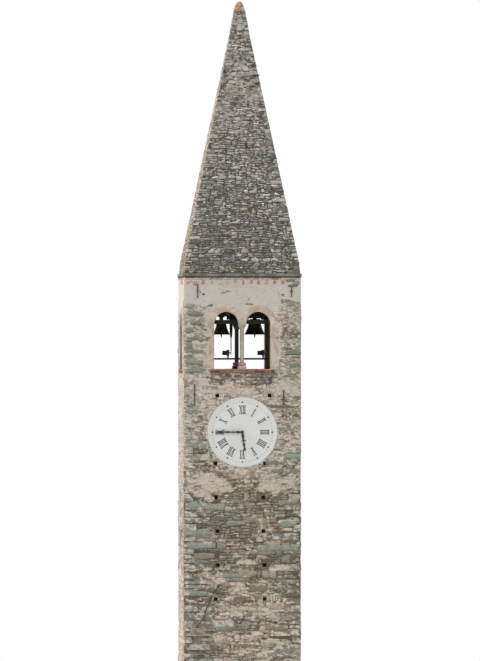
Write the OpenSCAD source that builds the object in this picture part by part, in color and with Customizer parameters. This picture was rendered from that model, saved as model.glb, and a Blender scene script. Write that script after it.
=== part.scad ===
// Campanile: a square stone bell tower. A rubble shaft carries a plastered
// belfry with a twin-arched window in each side, two bells on a timber frame,
// a clock under the front window and a hollow stone spire.
// X runs to the right along the clock face, Y into the tower, Z up.
// The origin is the middle of the footing, at ground level.

/* [Tower] */
// Outer width of each side of the tower
tower_w = 4500; // [4300:50:5000]
// Thickness of the shaft walls
shaft_wall = 800; // [660:20:900]
// Thickness of the belfry walls
belfry_wall = 600; // [500:20:640]
// Height of the belfry floor above the ground
floor_z = 13100; // [12500:50:14000]
// Height of the belfry walls, from the floor to the eaves
belfry_h = 4400; // [4300:50:5000]
// Thickness of the stone slabs under the spire
eaves_t = 100; // [60:10:140]
// How far the slabs stand out from the wall
eaves_out = 50; // [20:5:120]

/* [Spire] */
// Height of the spire, from the eaves slabs to its tip
spire_h = 10580; // [9500:20:11500]
// Distance that the spire's foot stands back from the wall face
spire_setback = 20; // [0:5:80]
// Height of the steep first courses of the spire
spire_foot_h = 410; // [200:20:700]
// How much those courses lean in over their height
spire_foot_lean = 35; // [0:5:90]
// Thickness of the spire's masonry at its foot, measured level
spire_foot_wall = 450; // [380:10:560]
// Thickness of the spire's masonry below the tip
spire_top_wall = 330; // [250:10:370]
// Height of the solid tip
tip_h = 1430; // [1000:20:1600]
// Half-width of the spire where the solid tip starts
tip_half = 393; // [380:5:460]
// Radius of the rounded end of the tip
tip_r = 120; // [80:10:180]

/* [Belfry windows] */
// Width of one arched opening
arch_w = 940; // [800:20:1000]
// Width of the masonry between the two arches
pier_w = 295; // [240:5:360]
// Height of the top of the sill above the belfry floor
sill_h = 800; // [600:20:950]
// Height of the springing of the arches above the sill
spring_h = 1750; // [1500:50:1900]
// Thickness of the sill slab
sill_t = 150; // [80:10:200]
// How far the sill slab stands out from the wall
sill_out = 45; // [0:5:100]
// Length of sill slab built into the wall at each end
sill_bearing = 160; // [80:10:220]

/* [Column] */
// Diameter of the column between the arches
column_d = 160; // [120:5:200]
// Width of the square block under the column
plinth_w = 340; // [300:10:400]
// Height of that block
plinth_h = 130; // [80:10:200]
// Height of the round base
base_h = 130; // [80:10:180]
// Height of the capital
capital_h = 215; // [150:5:300]

/* [Scaffold holes] */
// Width and height of each square hole left by the builders' scaffold
putlog_w = 140; // [100:10:180]
// Depth of each hole
putlog_depth = 400; // [200:20:500]
// Height between two rows of holes
putlog_pitch = 1310; // [1200:10:1450]
// Distance of the top row below the belfry floor
putlog_drop = 210; // [120:10:400]

/* [Clock] */
// Diameter of the clock, over its rim
clock_d = 2680; // [2200:20:2800]
// Distance of the clock's centre below the belfry floor
clock_drop = 1625; // [1500:25:1900]
// Thickness of the dial
dial_t = 60; // [50:5:90]
// Depth of the bed cut for the clock in the wall
dial_bed = 45; // [20:5:50]
// Width of the rim
rim_w = 45; // [30:5:80]
// How far the rim stands out from the dial
rim_out = 15; // [5:5:20]
// Length of the minute hand, from its centre
minute_len = 1040; // [900:10:1060]
// Length of the hour hand, from its centre
hour_len = 730; // [600:10:760]
// Width of a hand's bar at its narrowest
hand_bar = 48; // [40:2:56]
// Thickness of the hands
hand_t = 12; // [8:1:16]
// Gap between the dial and the hour hand, and between the two hands
hand_gap = 20; // [18:1:30]
// Radius of the arbor that turns the minute hand
arbor_r = 18; // [12:1:22]
// Radius of the pipe that turns the hour hand
pipe_r = 30; // [28:1:36]
// The time that the clock shows, in hours
clock_time = 5.75; // [0:0.25:11.75]

/* [Bells] */
// Mouth diameter of the left bell
left_bell_d = 690; // [600:10:760]
// Mouth diameter of the right bell
right_bell_d = 820; // [700:10:860]
// Distance of the left bell's centre from the middle of the tower
left_bell_x = 700; // [680:10:760]
// Distance of the right bell's centre from the middle of the tower
right_bell_x = 600; // [590:10:700]
// Height of the bells' axles above the belfry floor
axle_h = 2780; // [2700:10:2900]
// Distance from the axle down to the bells' lips
bell_hang = 640; // [620:10:700]
// Depth of the headstocks, front to back
headstock_w = 180; // [120:10:240]
// Height of the opening under the left headstock, above the axle
left_yoke_open = 60; // [40:5:80]
// Height of the opening under the right headstock, above the axle
right_yoke_open = -10; // [-10:5:80]
// Radius of the gudgeons that the bells swing on
gudgeon_r = 30; // [22:1:36]
// Radius of the drive wheels
wheel_r = 760; // [640:10:820]
// Width of the drive wheels' rims
wheel_t = 50; // [30:5:60]
// Gap between a bell's lip and its drive wheel
wheel_gap = 10; // [8:1:20]

/* [Bell frame] */
// Height of the frame's beams
beam_h = 160; // [120:10:200]
// Width of the cross beams
beam_w = 160; // [120:10:200]
// Width of the bearers under the bearings
bearer_w = 100; // [80:5:120]
// Distance of the cross beams from the middle of the tower
beam_y = 1280; // [1200:10:1340]
// Length of beam built into the wall at each end
beam_bearing = 200; // [100:10:300]
// Height of the axle above the beams
axle_over_beam = 70; // [60:5:90]
// Height of the motor rail's top above the belfry floor
rail_h = 1235; // [1000:20:1300]
// Width and height of the steel rail
rail_w = 70; // [50:5:90]
// Height of the motors' shafts above the rail
motor_lift = 195; // [180:5:220]
// Radius of the motors' chain sprockets
sprocket_r = 60; // [50:2:70]
// Thickness of the drive chains
chain_t = 12; // [8:1:20]

/* [Floors and door] */
// Thickness of the belfry's floor boards
board_t = 50; // [30:5:60]
// Height of the floor joists
joist_h = 200; // [150:10:260]
// Width of the floor joists
joist_w = 140; // [100:10:180]
// Number of floor joists
joist_count = 5; // [4:1:7]
// Length of joist built into the wall at each end
joist_bearing = 200; // [100:10:300]
// Thickness of the ground floor
ground_t = 150; // [100:10:250]
// Width of the doorway in the back wall
door_w = 900; // [800:20:1000]
// Height of the doorway above the ground floor
door_h = 1950; // [1850:50:2100]
// Thickness of the door leaf
door_t = 60; // [40:5:80]
// Depth of the door behind the wall face
door_set = 250; // [150:10:300]
// Width of the door frame's posts
frame_w = 90; // [60:5:120]
// Height of the stone lintel
lintel_h = 240; // [180:10:300]
// Length of lintel built into the wall at each end
lintel_bearing = 260; // [150:10:350]

/* [Wall anchors] */
// Width of the iron anchor bars
anchor_w = 50; // [30:5:80]
// Thickness of the iron anchor bars
anchor_t = 25; // [15:5:40]

/* [Hidden] */
$fn = 48;

half = tower_w / 2;
shaft_in = half - shaft_wall;
belfry_in = half - belfry_wall;
eaves_z = floor_z + belfry_h;
spire_z = eaves_z + eaves_t;
tip_z = spire_z + spire_h - tip_h;
sill_z = floor_z + sill_h;
spring_z = sill_z + spring_h;
arch_x = (arch_w + pier_w) / 2;
clock_z = floor_z - clock_drop;
dial_y = -half + dial_bed - dial_t;
axle_z = floor_z + axle_h;
lip_z = axle_z - bell_hang;
beam_z = axle_z - axle_over_beam - beam_h;
rail_z = floor_z + rail_h;
motor_z = rail_z + motor_lift;
eps = 1;

FRONT = 0;
RIGHT = 90;
BACK = 180;
LEFT = 270;
SIDES = [FRONT, RIGHT, BACK, LEFT];

// Places of the scaffold holes across a wall, row by row from the top:
// the builders set their poles by eye.
PUTLOG_LEFT = [-970, -1000, -1040, -1010, -960, -950, -1030];
PUTLOG_RIGHT = [1050, 950, 870, 810, 810, 860, 860];

// Iron anchors on a wall: place across it, height and length.
ANCHORS = [[-1725, eaves_z - 575, 540], [1900, eaves_z - 590, 430],
           [-1850, floor_z - 170, 810], [1600, floor_z - 300, 600]];

// ---- shared shapes -------------------------------------------------------

module on_side(angle) {
    rotate([0, 0, angle]) children();
}

// A slab of wall standing on the outer face of one side.
module wall_slab(length, z, height, thickness) {
    translate([-length / 2, -half, z]) cube([length, thickness, height]);
}

// A bar along X with its middle at x = 0 and its underside at z.
module bar_x(length, y, z, depth, height) {
    translate([-length / 2, y - depth / 2, z]) cube([length, depth, height]);
}

// A cylinder along Y, from y to y + length.
module rod_y(r, y, length) {
    translate([0, y, 0]) rotate([-90, 0, 0]) cylinder(r = r, h = length);
}

// A cylinder along X, from x to x + length.
module rod_x(r, x, length) {
    translate([x, 0, 0]) rotate([0, 90, 0]) cylinder(r = r, h = length);
}

// ---- shaft ---------------------------------------------------------------

function clears_clock(x, z) = norm([x, z - clock_z]) > clock_d / 2 + putlog_w;

module putlog_hole(x, z) {
    translate([x - putlog_w / 2, -half - eps, z - putlog_w / 2])
        cube([putlog_w, putlog_depth + eps, putlog_w]);
}

module putlog_holes(with_clock) {
    for (row = [0 : len(PUTLOG_LEFT) - 1])
        for (x = [PUTLOG_LEFT[row], PUTLOG_RIGHT[row]]) {
            z = floor_z - putlog_drop - row * putlog_pitch;
            if (!with_clock || clears_clock(x, z)) putlog_hole(x, z);
        }
}

module clock_bed() {
    translate([0, 0, clock_z]) {
        rod_y(clock_d / 2, -half - eps, dial_bed + eps, $fn = 96);
        rod_y(2 * pipe_r, -half, dial_bed + 200);
    }
}

module front_wall() color("tan") difference() {
    wall_slab(tower_w, 0, floor_z, shaft_wall);
    putlog_holes(true);
    clock_bed();
    joists();
}

module side_wall(angle) color("tan") on_side(angle) difference() {
    wall_slab(2 * shaft_in, 0, floor_z, shaft_wall);
    putlog_holes(false);
}

module left_wall() side_wall(LEFT);

module right_wall() side_wall(RIGHT);

module back_wall() color("tan") difference() {
    on_side(BACK) difference() {
        wall_slab(tower_w, 0, floor_z, shaft_wall);
        putlog_holes(false);
        doorway_cut();
    }
    joists();
}

// The doorway, from the ground up to its lintel, and the lintel's seat.
module doorway_cut() {
    translate([-door_w / 2, -half - eps, -eps])
        cube([door_w, shaft_wall + 2 * eps, ground_t + door_h + 2 * eps]);
    lintel_block(eps);
}

module lintel_block(over) {
    translate([-door_w / 2 - lintel_bearing, -half - over, ground_t + door_h])
        cube([door_w + 2 * lintel_bearing, shaft_wall + 2 * over, lintel_h]);
}

// ---- belfry --------------------------------------------------------------

module arch_cut(x) {
    translate([x, -half - eps, spring_z]) rotate([-90, 0, 0])
        cylinder(d = arch_w, h = belfry_wall + 2 * eps, $fn = 96);
    translate([x - arch_w / 2, -half - eps, sill_z])
        cube([arch_w, belfry_wall + 2 * eps, spring_h]);
}

module sill_block(out, over) {
    length = 2 * arch_w + pier_w + 2 * sill_bearing;
    translate([-length / 2, -half - out, sill_z - sill_t])
        cube([length, belfry_wall + out + over, sill_t]);
}

module window_cut() {
    arch_cut(-arch_x);
    arch_cut(arch_x);
    translate([-pier_w / 2 - eps, -half - eps, sill_z])
        cube([pier_w + 2 * eps, belfry_wall + 2 * eps, spring_h]);
    sill_block(eps, eps);
}

module belfry_panel(length, angle) on_side(angle) difference() {
    wall_slab(length, floor_z, belfry_h, belfry_wall);
    window_cut();
}

// A side wall of the belfry, with pockets for the ends of the cross beams.
module belfry_side(angle) color("antiquewhite") difference() {
    belfry_panel(2 * belfry_in, angle);
    beams();
}

module belfry_front() color("antiquewhite") belfry_panel(tower_w, FRONT);

module belfry_back() color("antiquewhite") belfry_panel(tower_w, BACK);

module belfry_left() belfry_side(LEFT);

module belfry_right() belfry_side(RIGHT);

module window_sills() color("indianred")
    for (side = SIDES) on_side(side) sill_block(sill_out, 0);

// The middle of the wall between the arches, where a column stands.
module at_column() {
    for (side = SIDES) on_side(side) translate([0, -half + belfry_wall / 2, 0]) children();
}

module column_plinths() color("darkgray") at_column()
    translate([-plinth_w / 2, -plinth_w / 2, sill_z]) cube([plinth_w, plinth_w, plinth_h]);

// A round swelling between the block and the shaft.
module column_bases() color("salmon") at_column()
    translate([0, 0, sill_z + plinth_h]) rotate_extrude()
        polygon(concat([[0, 0]],
                       [for (a = [-60 : 15 : 75])
                           [column_d / 2 + 20 + 0.45 * base_h * cos(a),
                            base_h * (0.5 + 0.5 * sin(a) / sin(75))]],
                       [[0, base_h]]));

module column_shafts() color("lightgray") at_column()
    translate([0, 0, sill_z + plinth_h + base_h])
        cylinder(d = column_d, h = spring_h - plinth_h - base_h - capital_h);

// A crutch that spreads from the shaft to the whole thickness of the wall.
module column_capitals() color("lightgray") at_column() hull() {
    translate([-column_d / 2, -column_d / 2, spring_z - capital_h])
        cube([column_d, column_d, capital_h / 10]);
    translate([-pier_w / 2, -belfry_wall / 2, spring_z - capital_h / 4])
        cube([pier_w, belfry_wall, capital_h / 4]);
}

// ---- eaves and spire -----------------------------------------------------

module eaves_slab(length, angle) color("slategray") on_side(angle)
    translate([-length / 2, -half - eaves_out, eaves_z])
        cube([length, belfry_wall + eaves_out, eaves_t]);

module eaves_front() eaves_slab(tower_w + 2 * eaves_out, FRONT);

module eaves_back() eaves_slab(tower_w + 2 * eaves_out, BACK);

module eaves_left() eaves_slab(2 * belfry_in, LEFT);

module eaves_right() eaves_slab(2 * belfry_in, RIGHT);

// One sloping side of the spire, mitred to its neighbours at the hips.
// Each level is [height, half-width]: two outside corners and then the inside.
module spire_panel(angle) {
    foot = half - spire_setback;
    outer = [[spire_z, foot], [spire_z + spire_foot_h, foot - spire_foot_lean], [tip_z, tip_half]];
    inner = [[tip_z, tip_half - spire_top_wall], [spire_z, foot - spire_foot_wall]];
    ring = concat(outer, inner);
    n = len(ring);
    points = [for (side = [-1, 1]) for (level = ring) [side * level[1], -level[1], level[0]]];
    mitres = [[for (i = [0 : n - 1]) i], [for (i = [n - 1 : -1 : 0]) n + i]];
    faces = [for (i = [0 : n - 1]) [i, n + i, n + (i + 1) % n, (i + 1) % n]];
    color("gray") on_side(angle) polyhedron(points, concat(mitres, faces));
}

module spire_front() spire_panel(FRONT);

module spire_back() spire_panel(BACK);

module spire_left() spire_panel(LEFT);

module spire_right() spire_panel(RIGHT);

module spire_tip() color("peru") hull() {
    tip_top = spire_z + spire_h;
    shoulder_z = tip_top - 0.24 * tip_h;
    translate([-tip_half, -tip_half, tip_z]) cube([2 * tip_half, 2 * tip_half, 1]);
    translate([-tip_half / 2, -tip_half / 2, shoulder_z]) cube([tip_half, tip_half, 1]);
    translate([0, 0, tip_top - tip_r]) sphere(r = tip_r, $fn = 24);
}

// ---- clock ---------------------------------------------------------------

module clock_dial() color("ivory") translate([0, 0, clock_z]) difference() {
    rod_y(clock_d / 2 - rim_w, dial_y, dial_t, $fn = 96);
    rod_y(pipe_r + 2, dial_y - eps, dial_t + 2 * eps);
}

module clock_rim() color("white") translate([0, 0, clock_z]) difference() {
    rod_y(clock_d / 2, dial_y - rim_out, dial_t + rim_out, $fn = 96);
    rod_y(clock_d / 2 - rim_w, dial_y - rim_out - eps, dial_t + rim_out + 2 * eps, $fn = 96);
}

// A swelling of a hand: as wide as the bar at its ends, and wider in the middle.
module swelling(low, high, bar, wide)
    polygon([[-bar / 2, low], [-wide / 2, (low + high) / 2], [-bar / 2, high],
             [bar / 2, high], [wide / 2, (low + high) / 2], [bar / 2, low]]);

// A hand pointing up: a boss, a bar that swells twice, a thin cross-piece and a
// spade at the tip. cross_at is the cross-piece's place as a share of the length.
module hand_outline(length, boss, bar, cross_at, cross_reach) {
    cross = cross_at * length;
    spade = cross + 0.36 * length;
    circle(r = boss);
    translate([-bar / 2, 0]) square([bar, spade]);
    swelling(0.5 * boss, 0.85 * cross, bar, 2.2 * bar);
    translate([-cross_reach / 2, cross - bar / 4]) square([cross_reach, bar / 2]);
    swelling(cross + 0.1 * length, cross + 0.32 * length, bar, 1.8 * bar);
    polygon([[-bar / 2, spade], [-bar, spade + 0.08 * length], [-0.4 * bar, length],
             [0.4 * bar, length], [bar, spade + 0.08 * length], [bar / 2, spade]]);
}

// A hand turned clockwise from twelve, with its back at y.
module hand(angle, y, length, boss, bar, cross_at, cross_reach) {
    rotate([0, angle, 0]) translate([0, y, 0]) rotate([90, 0, 0])
        linear_extrude(height = hand_t) hand_outline(length, boss, bar, cross_at, cross_reach);
}

hour_y = dial_y - hand_gap;
minute_y = hour_y - hand_t - hand_gap;
arbor_back = -half + dial_bed + 100;

module minute_hand() color("midnightblue") translate([0, 0, clock_z]) {
    hand(360 * (clock_time - floor(clock_time)), minute_y, minute_len,
         boss = 1.6 * pipe_r, bar = hand_bar, cross_at = 0.34, cross_reach = 3 * hand_bar);
    rod_y(arbor_r, minute_y - eps, arbor_back - minute_y + 50);
}

module hour_hand() color("midnightblue") translate([0, 0, clock_z]) difference() {
    union() {
        hand(30 * clock_time, hour_y, hour_len,
             boss = 2 * pipe_r, bar = 1.1 * hand_bar, cross_at = 0.46, cross_reach = 4 * hand_bar);
        rod_y(pipe_r, hour_y - hand_t, arbor_back - hour_y);
    }
    rod_y(arbor_r + 0.5, hour_y - hand_t - eps, arbor_back - hour_y + 3 * eps);
}

// ---- bells ---------------------------------------------------------------

// Across a bell: its height over its mouth diameter, and the outer radius and
// the metal's thickness at a height u, from 0 at the lip to 1 at the shoulder.
bell_tall = 0.74;
function bell_out(d, u) = d / 2 * (0.54 + 0.46 * pow(1 - u, 2));
function bell_metal(d, u) = d * (0.03 + 0.045 * pow(1 - u, 3));
function bell_top(d) = lip_z + bell_tall * d;
function pivot_z(d) = bell_top(d) - 0.05 * d - 50;
function wheel_x(d) = d / 2 + wheel_gap + wheel_t / 2;
function near_bearing(d) = d / 2 + 90;
function far_bearing(d) = wheel_x(d) + wheel_t / 2 + 90;
function yoke_half(d) = 0.26 * d + 150;

bell_steps = 12;
canon_w = 150;
yoke_top_half = 110;
yoke_low_z = axle_z - 60;
yoke_shoulder_z = axle_z + 70;
yoke_top_z = axle_z + 260;
yoke_arm = 120;
pin_r = 12;

module bell_shell(d) {
    rise = bell_tall * d;
    body = 0.94;
    outer = [for (i = [0 : bell_steps]) let (u = body * i / bell_steps) [bell_out(d, u), u * rise]];
    inner = [for (i = [bell_steps : -1 : 0])
                let (u = 0.9 * i / bell_steps) [bell_out(d, u) - bell_metal(d, u), u * rise]];
    cap = [[0.25 * d, 0.985 * rise], [0.22 * d, rise], [0, rise], [0, 0.945 * rise], [0.19 * d, 0.94 * rise]];
    translate([0, 0, lip_z]) rotate_extrude($fn = 64) polygon(concat(outer, cap, inner));
}

// Two cheeks and a pin inside the bell's top, where the clapper hangs.
module clapper_staple(d) {
    for (side = [-1, 1])
        translate([side * 26 - 8, -20, pivot_z(d) - 24])
            cube([16, 40, lip_z + 0.96 * bell_tall * d - pivot_z(d) + 24]);
    translate([0, 0, pivot_z(d)]) rod_x(pin_r, -30, 60);
}

// The loops that the bell hangs by, up to the headstock's underside.
module canons(d, open) {
    for (turn = [0, 90]) rotate([0, 0, turn])
        translate([-canon_w / 2, -30, bell_top(d) - 1])
            cube([canon_w, 60, axle_z + open - bell_top(d) + 1]);
}

module bell(x, d, open) color("darkslategray") translate([x, 0, 0]) {
    bell_shell(d);
    clapper_staple(d);
    canons(d, open);
}

// A headstock with two legs and sloping shoulders, open beneath up to a height
// above the axle.
module headstock(x, d, open) color("saddlebrown") translate([x, 0, 0]) {
    low = yoke_half(d);
    leg = low - yoke_arm;
    under_z = axle_z + open;
    rotate([90, 0, 0]) translate([0, 0, -headstock_w / 2]) linear_extrude(height = headstock_w)
        polygon([[-low, yoke_low_z], [-low, yoke_shoulder_z], [-yoke_top_half, yoke_top_z],
                 [yoke_top_half, yoke_top_z], [low, yoke_shoulder_z], [low, yoke_low_z],
                 [leg, yoke_low_z], [leg, under_z], [-leg, under_z], [-leg, yoke_low_z]]);
    translate([0, 0, axle_z]) {
        rod_x(gudgeon_r, -near_bearing(d) - 50, near_bearing(d) + 50 - low + yoke_arm);
        rod_x(gudgeon_r, low - yoke_arm, far_bearing(d) + 50 - low + yoke_arm);
    }
}

module clapper(x, d) color("dimgray") translate([x, 0, pivot_z(d)]) {
    ball_r = 0.065 * d;
    drop = pivot_z(d) - lip_z;
    difference() {
        union() {
            rod_x(28, -12, 24);
            translate([0, 0, -drop + 30]) cylinder(r = 14, h = drop - 50);
        }
        rod_x(pin_r + 0.5, -13, 26);
    }
    translate([0, 0, -drop + 30]) sphere(r = ball_r, $fn = 32);
    translate([0, 0, -drop - 118]) cylinder(r1 = 18, r2 = 32, h = 130);
}

module drive_wheel(x, d) color("dimgray") translate([x + wheel_x(d), 0, axle_z]) {
    hub = 2 * gudgeon_r;
    difference() {
        rod_x(wheel_r, -wheel_t / 2, wheel_t, $fn = 96);
        rod_x(wheel_r - 40, -wheel_t, 2 * wheel_t, $fn = 96);
    }
    difference() {
        union() {
            rod_x(hub, -wheel_t / 2, wheel_t);
            for (spoke = [0 : 60 : 300]) rotate([spoke, 0, 0])
                translate([-10, -20, 0]) cube([20, 40, wheel_r - 20]);
        }
        rod_x(gudgeon_r, -wheel_t, 2 * wheel_t);
    }
}

module headstock_left() headstock(-left_bell_x, left_bell_d, left_yoke_open);

module bell_left() bell(-left_bell_x, left_bell_d, left_yoke_open);

module clapper_left() clapper(-left_bell_x, left_bell_d);

module wheel_left() drive_wheel(-left_bell_x, left_bell_d);

module headstock_right() headstock(right_bell_x, right_bell_d, right_yoke_open);

module bell_right() bell(right_bell_x, right_bell_d, right_yoke_open);

module clapper_right() clapper(right_bell_x, right_bell_d);

module wheel_right() drive_wheel(right_bell_x, right_bell_d);

// ---- bell frame, motors and chains ---------------------------------------

// Runs its children at the middle of each bearing.
module at_bearings() {
    for (place = [[-left_bell_x, left_bell_d], [right_bell_x, right_bell_d]])
        for (offset = [-near_bearing(place[1]), far_bearing(place[1])])
            translate([place[0] + offset, 0, 0]) children();
}

// Two timber cross beams whose ends are built into the side walls.
module beams() {
    for (y = [-beam_y, beam_y])
        bar_x(2 * (belfry_in + beam_bearing), y, beam_z, beam_w, beam_h);
}

module cross_beams() color("sienna") beams();

module bearers() color("sienna") at_bearings()
    translate([-bearer_w / 2, -beam_y + beam_w / 2, beam_z])
        cube([bearer_w, 2 * beam_y - beam_w, beam_h]);

module bearings() color("dimgray") at_bearings() difference() {
    translate([-40, -90, beam_z + beam_h]) cube([80, 180, axle_over_beam + gudgeon_r + 25]);
    translate([0, 0, axle_z]) rod_x(gudgeon_r + 0.1, -41, 82);
}

// A steel rail across the belfry, on two posts that stand on the floor.
module motor_rail() color("dimgray") {
    bar_x(2 * (belfry_in - rail_w), 0, rail_z - rail_w, rail_w, rail_w);
    for (x = [-belfry_in + 2 * rail_w, belfry_in - 2 * rail_w])
        translate([x - rail_w / 2, -rail_w / 2, floor_z]) cube([rail_w, rail_w, rail_h - rail_w + eps]);
}

// Runs its children where each drive chain crosses the axle's plane.
module at_chains() {
    translate([-left_bell_x + wheel_x(left_bell_d), 0, 0]) children();
    translate([right_bell_x + wheel_x(right_bell_d), 0, 0]) children();
}

// A geared motor with its sprocket under the drive wheel.
module drive_motors() color("dimgray") at_chains() translate([0, 0, motor_z]) {
    rod_x(sprocket_r, -8, 16);
    rod_x(22, -80, 80);
    translate([-180, -90, -110]) cube([110, 180, 230]);
    rod_x(85, -340, 161);
    translate([-150, -rail_w / 2, -motor_lift]) cube([60, rail_w, motor_lift - 100]);
}

module chain_outline(over_wheel, over_sprocket) hull() {
    translate([axle_z - motor_z, 0]) circle(r = wheel_r + over_wheel, $fn = 64);
    circle(r = sprocket_r + over_sprocket, $fn = 32);
}

module drive_chains() color("dimgray") at_chains() translate([-10, 0, motor_z])
    rotate([0, -90, 180]) linear_extrude(height = 20) difference() {
        chain_outline(8 + chain_t, 1 + chain_t);
        chain_outline(8, 1);
    }

// ---- floors and door -----------------------------------------------------

module joists() {
    pitch = 2 * shaft_in / joist_count;
    for (i = [0 : joist_count - 1])
        translate([-shaft_in + (i + 0.5) * pitch - joist_w / 2, -shaft_in - joist_bearing,
                   floor_z - board_t - joist_h])
            cube([joist_w, 2 * (shaft_in + joist_bearing), joist_h]);
}

module floor_joists() color("sienna") joists();

module belfry_floor() color("burlywood")
    translate([-shaft_in, -shaft_in, floor_z - board_t]) cube([2 * shaft_in, 2 * shaft_in, board_t]);

// Stone flags that run on through the doorway as its threshold.
module ground_floor() color("gray") {
    translate([-shaft_in, -shaft_in, 0]) cube([2 * shaft_in, 2 * shaft_in, ground_t]);
    translate([-door_w / 2, 0, 0]) cube([door_w, half, ground_t]);
}

module door_lintel() color("lightgray") on_side(BACK) lintel_block(0);

module door_frame() color("saddlebrown") on_side(BACK)
    translate([-door_w / 2, -half + door_set, ground_t]) difference() {
        cube([door_w, frame_w, door_h]);
        translate([frame_w, -eps, -eps])
            cube([door_w - 2 * frame_w, frame_w + 2 * eps, door_h - frame_w + eps]);
    }

module door_leaf() color("saddlebrown") on_side(BACK)
    translate([-door_w / 2 + frame_w, -half + door_set, ground_t])
        cube([door_w - 2 * frame_w, door_t, door_h - frame_w]);

// ---- wall anchors --------------------------------------------------------

// The bars that hold the ends of the tie rods, each with an eye in the middle.
module wall_anchors() color("dimgray") for (side = [FRONT, BACK]) on_side(side)
    for (a = ANCHORS) {
        translate([a[0] - anchor_w / 2, -half - anchor_t, a[1] - a[2] / 2])
            cube([anchor_w, anchor_t, a[2]]);
        translate([a[0], 0, a[1]]) rod_y(anchor_w, -half - 1.6 * anchor_t, 1.6 * anchor_t);
    }

// ---- nodes ---------------------------------------------------------------

front_wall();
left_wall();
right_wall();
back_wall();
belfry_front();
belfry_left();
belfry_right();
belfry_back();
window_sills();
column_plinths();
column_bases();
column_shafts();
column_capitals();
eaves_front();
eaves_left();
eaves_right();
eaves_back();
spire_front();
spire_left();
spire_right();
spire_back();
spire_tip();
clock_dial();
clock_rim();
minute_hand();
hour_hand();
cross_beams();
bearers();
bearings();
headstock_left();
bell_left();
clapper_left();
wheel_left();
headstock_right();
bell_right();
clapper_right();
wheel_right();
motor_rail();
drive_motors();
drive_chains();
belfry_floor();
floor_joists();
ground_floor();
door_leaf();
door_frame();
door_lintel();
wall_anchors();
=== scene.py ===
# %% [markdown]
# # A stone campanile
# The tower's construction is already there as solids: walls, belfry, bells, clock and spire. This
# lesson dresses them: it lays the rubble stone by stone, spreads the lime mortar and plaster over it,
# letters the clock and gives every surface its finish. The lines before each step say what the piece
# is on a real tower, how it could be made, and why it is made this way.

# %% Load the frame
import math
from contextlib import contextmanager

import bpy
import numpy as np
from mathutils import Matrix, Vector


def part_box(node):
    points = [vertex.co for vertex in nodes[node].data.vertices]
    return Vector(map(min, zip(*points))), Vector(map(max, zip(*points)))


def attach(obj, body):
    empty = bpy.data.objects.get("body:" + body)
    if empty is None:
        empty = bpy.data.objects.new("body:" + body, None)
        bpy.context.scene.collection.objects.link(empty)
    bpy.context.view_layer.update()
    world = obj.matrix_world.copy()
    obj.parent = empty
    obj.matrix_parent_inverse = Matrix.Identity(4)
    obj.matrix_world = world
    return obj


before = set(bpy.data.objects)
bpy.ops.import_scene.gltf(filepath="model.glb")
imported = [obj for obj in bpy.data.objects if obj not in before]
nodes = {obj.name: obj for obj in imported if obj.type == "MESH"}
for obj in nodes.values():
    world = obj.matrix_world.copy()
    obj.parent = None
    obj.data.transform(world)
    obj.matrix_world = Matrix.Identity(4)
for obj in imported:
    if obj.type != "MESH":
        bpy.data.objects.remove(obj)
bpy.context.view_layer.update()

bpy.ops.object.select_all(action="DESELECT")
print("nodes in the frame:", len(nodes))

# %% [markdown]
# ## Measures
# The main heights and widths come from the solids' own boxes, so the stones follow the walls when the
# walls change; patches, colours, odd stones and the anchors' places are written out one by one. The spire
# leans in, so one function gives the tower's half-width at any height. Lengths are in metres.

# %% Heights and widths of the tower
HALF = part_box("front_wall")[1].x
EAVES_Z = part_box("belfry_front")[1].z
SPIRE_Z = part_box("spire_front")[0].z
TIP_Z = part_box("spire_front")[1].z
TOP_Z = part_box("spire_tip")[1].z
FOOT_Z = sorted({round(v.co.z, 4) for v in nodes["spire_front"].data.vertices})[1]


def widest(node, z):
    """Half the width of a node's mesh at the level of its corners at z."""
    return max(v.co.x for v in nodes[node].data.vertices if abs(v.co.z - z) < 0.01)


SHOULDER_Z = TOP_Z - 0.24 * (TOP_Z - TIP_Z)
LEVELS = [0.0, EAVES_Z, EAVES_Z + 0.001, SPIRE_Z, FOOT_Z, TIP_Z, SHOULDER_Z, TOP_Z - 0.08, TOP_Z]
HALVES = [HALF, HALF, widest("spire_front", SPIRE_Z), widest("spire_front", SPIRE_Z),
          widest("spire_front", FOOT_Z), widest("spire_front", TIP_Z),
          widest("spire_tip", TIP_Z) / 2, 0.11, 0.02]


def half_at(z):
    """Half the tower's width at height z."""
    return np.interp(z, LEVELS, HALVES)


SIDES = ("front", "right", "back", "left")


def on_side(side, u, z, out):
    """Points on a side: u runs to its right as seen from outside, out stands proud of the wall."""
    u, z, out = np.broadcast_arrays(u, z, out)
    reach = half_at(z) + out
    x, y = {"front": (u, -reach), "right": (reach, u), "back": (-u, reach), "left": (-reach, -u)}[side]
    return np.stack([x, y, z], axis=-1)


print("half-width %.2f, eaves %.2f, top %.2f" % (HALF, EAVES_Z, TOP_Z))

# %% [markdown]
# ## Helpers for meshes
# Thousands of stones are one joined mesh made from arrays, because a separate object for each would be
# far too slow. A colour for each point is stored with the mesh, and the materials read it.

# %% Make a piece from arrays
FIELD = 257
AWAY = 500.0


def linear(colour):
    """A colour written as 0 to 255, in the light values that shaders work with."""
    return np.array([((c / 255 + 0.055) / 1.055) ** 2.4 if c > 10 else c / 3294 for c in colour])


def activate(piece):
    """Makes a piece the active object and the only one selected."""
    bpy.ops.object.select_all(action="DESELECT")
    bpy.context.view_layer.objects.active = piece
    piece.select_set(True)


def dress(piece, material, body, smooth):
    """Smooths a piece, gives it its material and hangs it on a body of the frame."""
    activate(piece)
    if smooth is not None:
        bpy.ops.object.shade_smooth_by_angle(angle=math.radians(smooth))
    piece.data.materials.clear()
    piece.data.materials.append(material)
    bpy.ops.object.select_all(action="DESELECT")
    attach(piece, body)
    return piece


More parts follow.
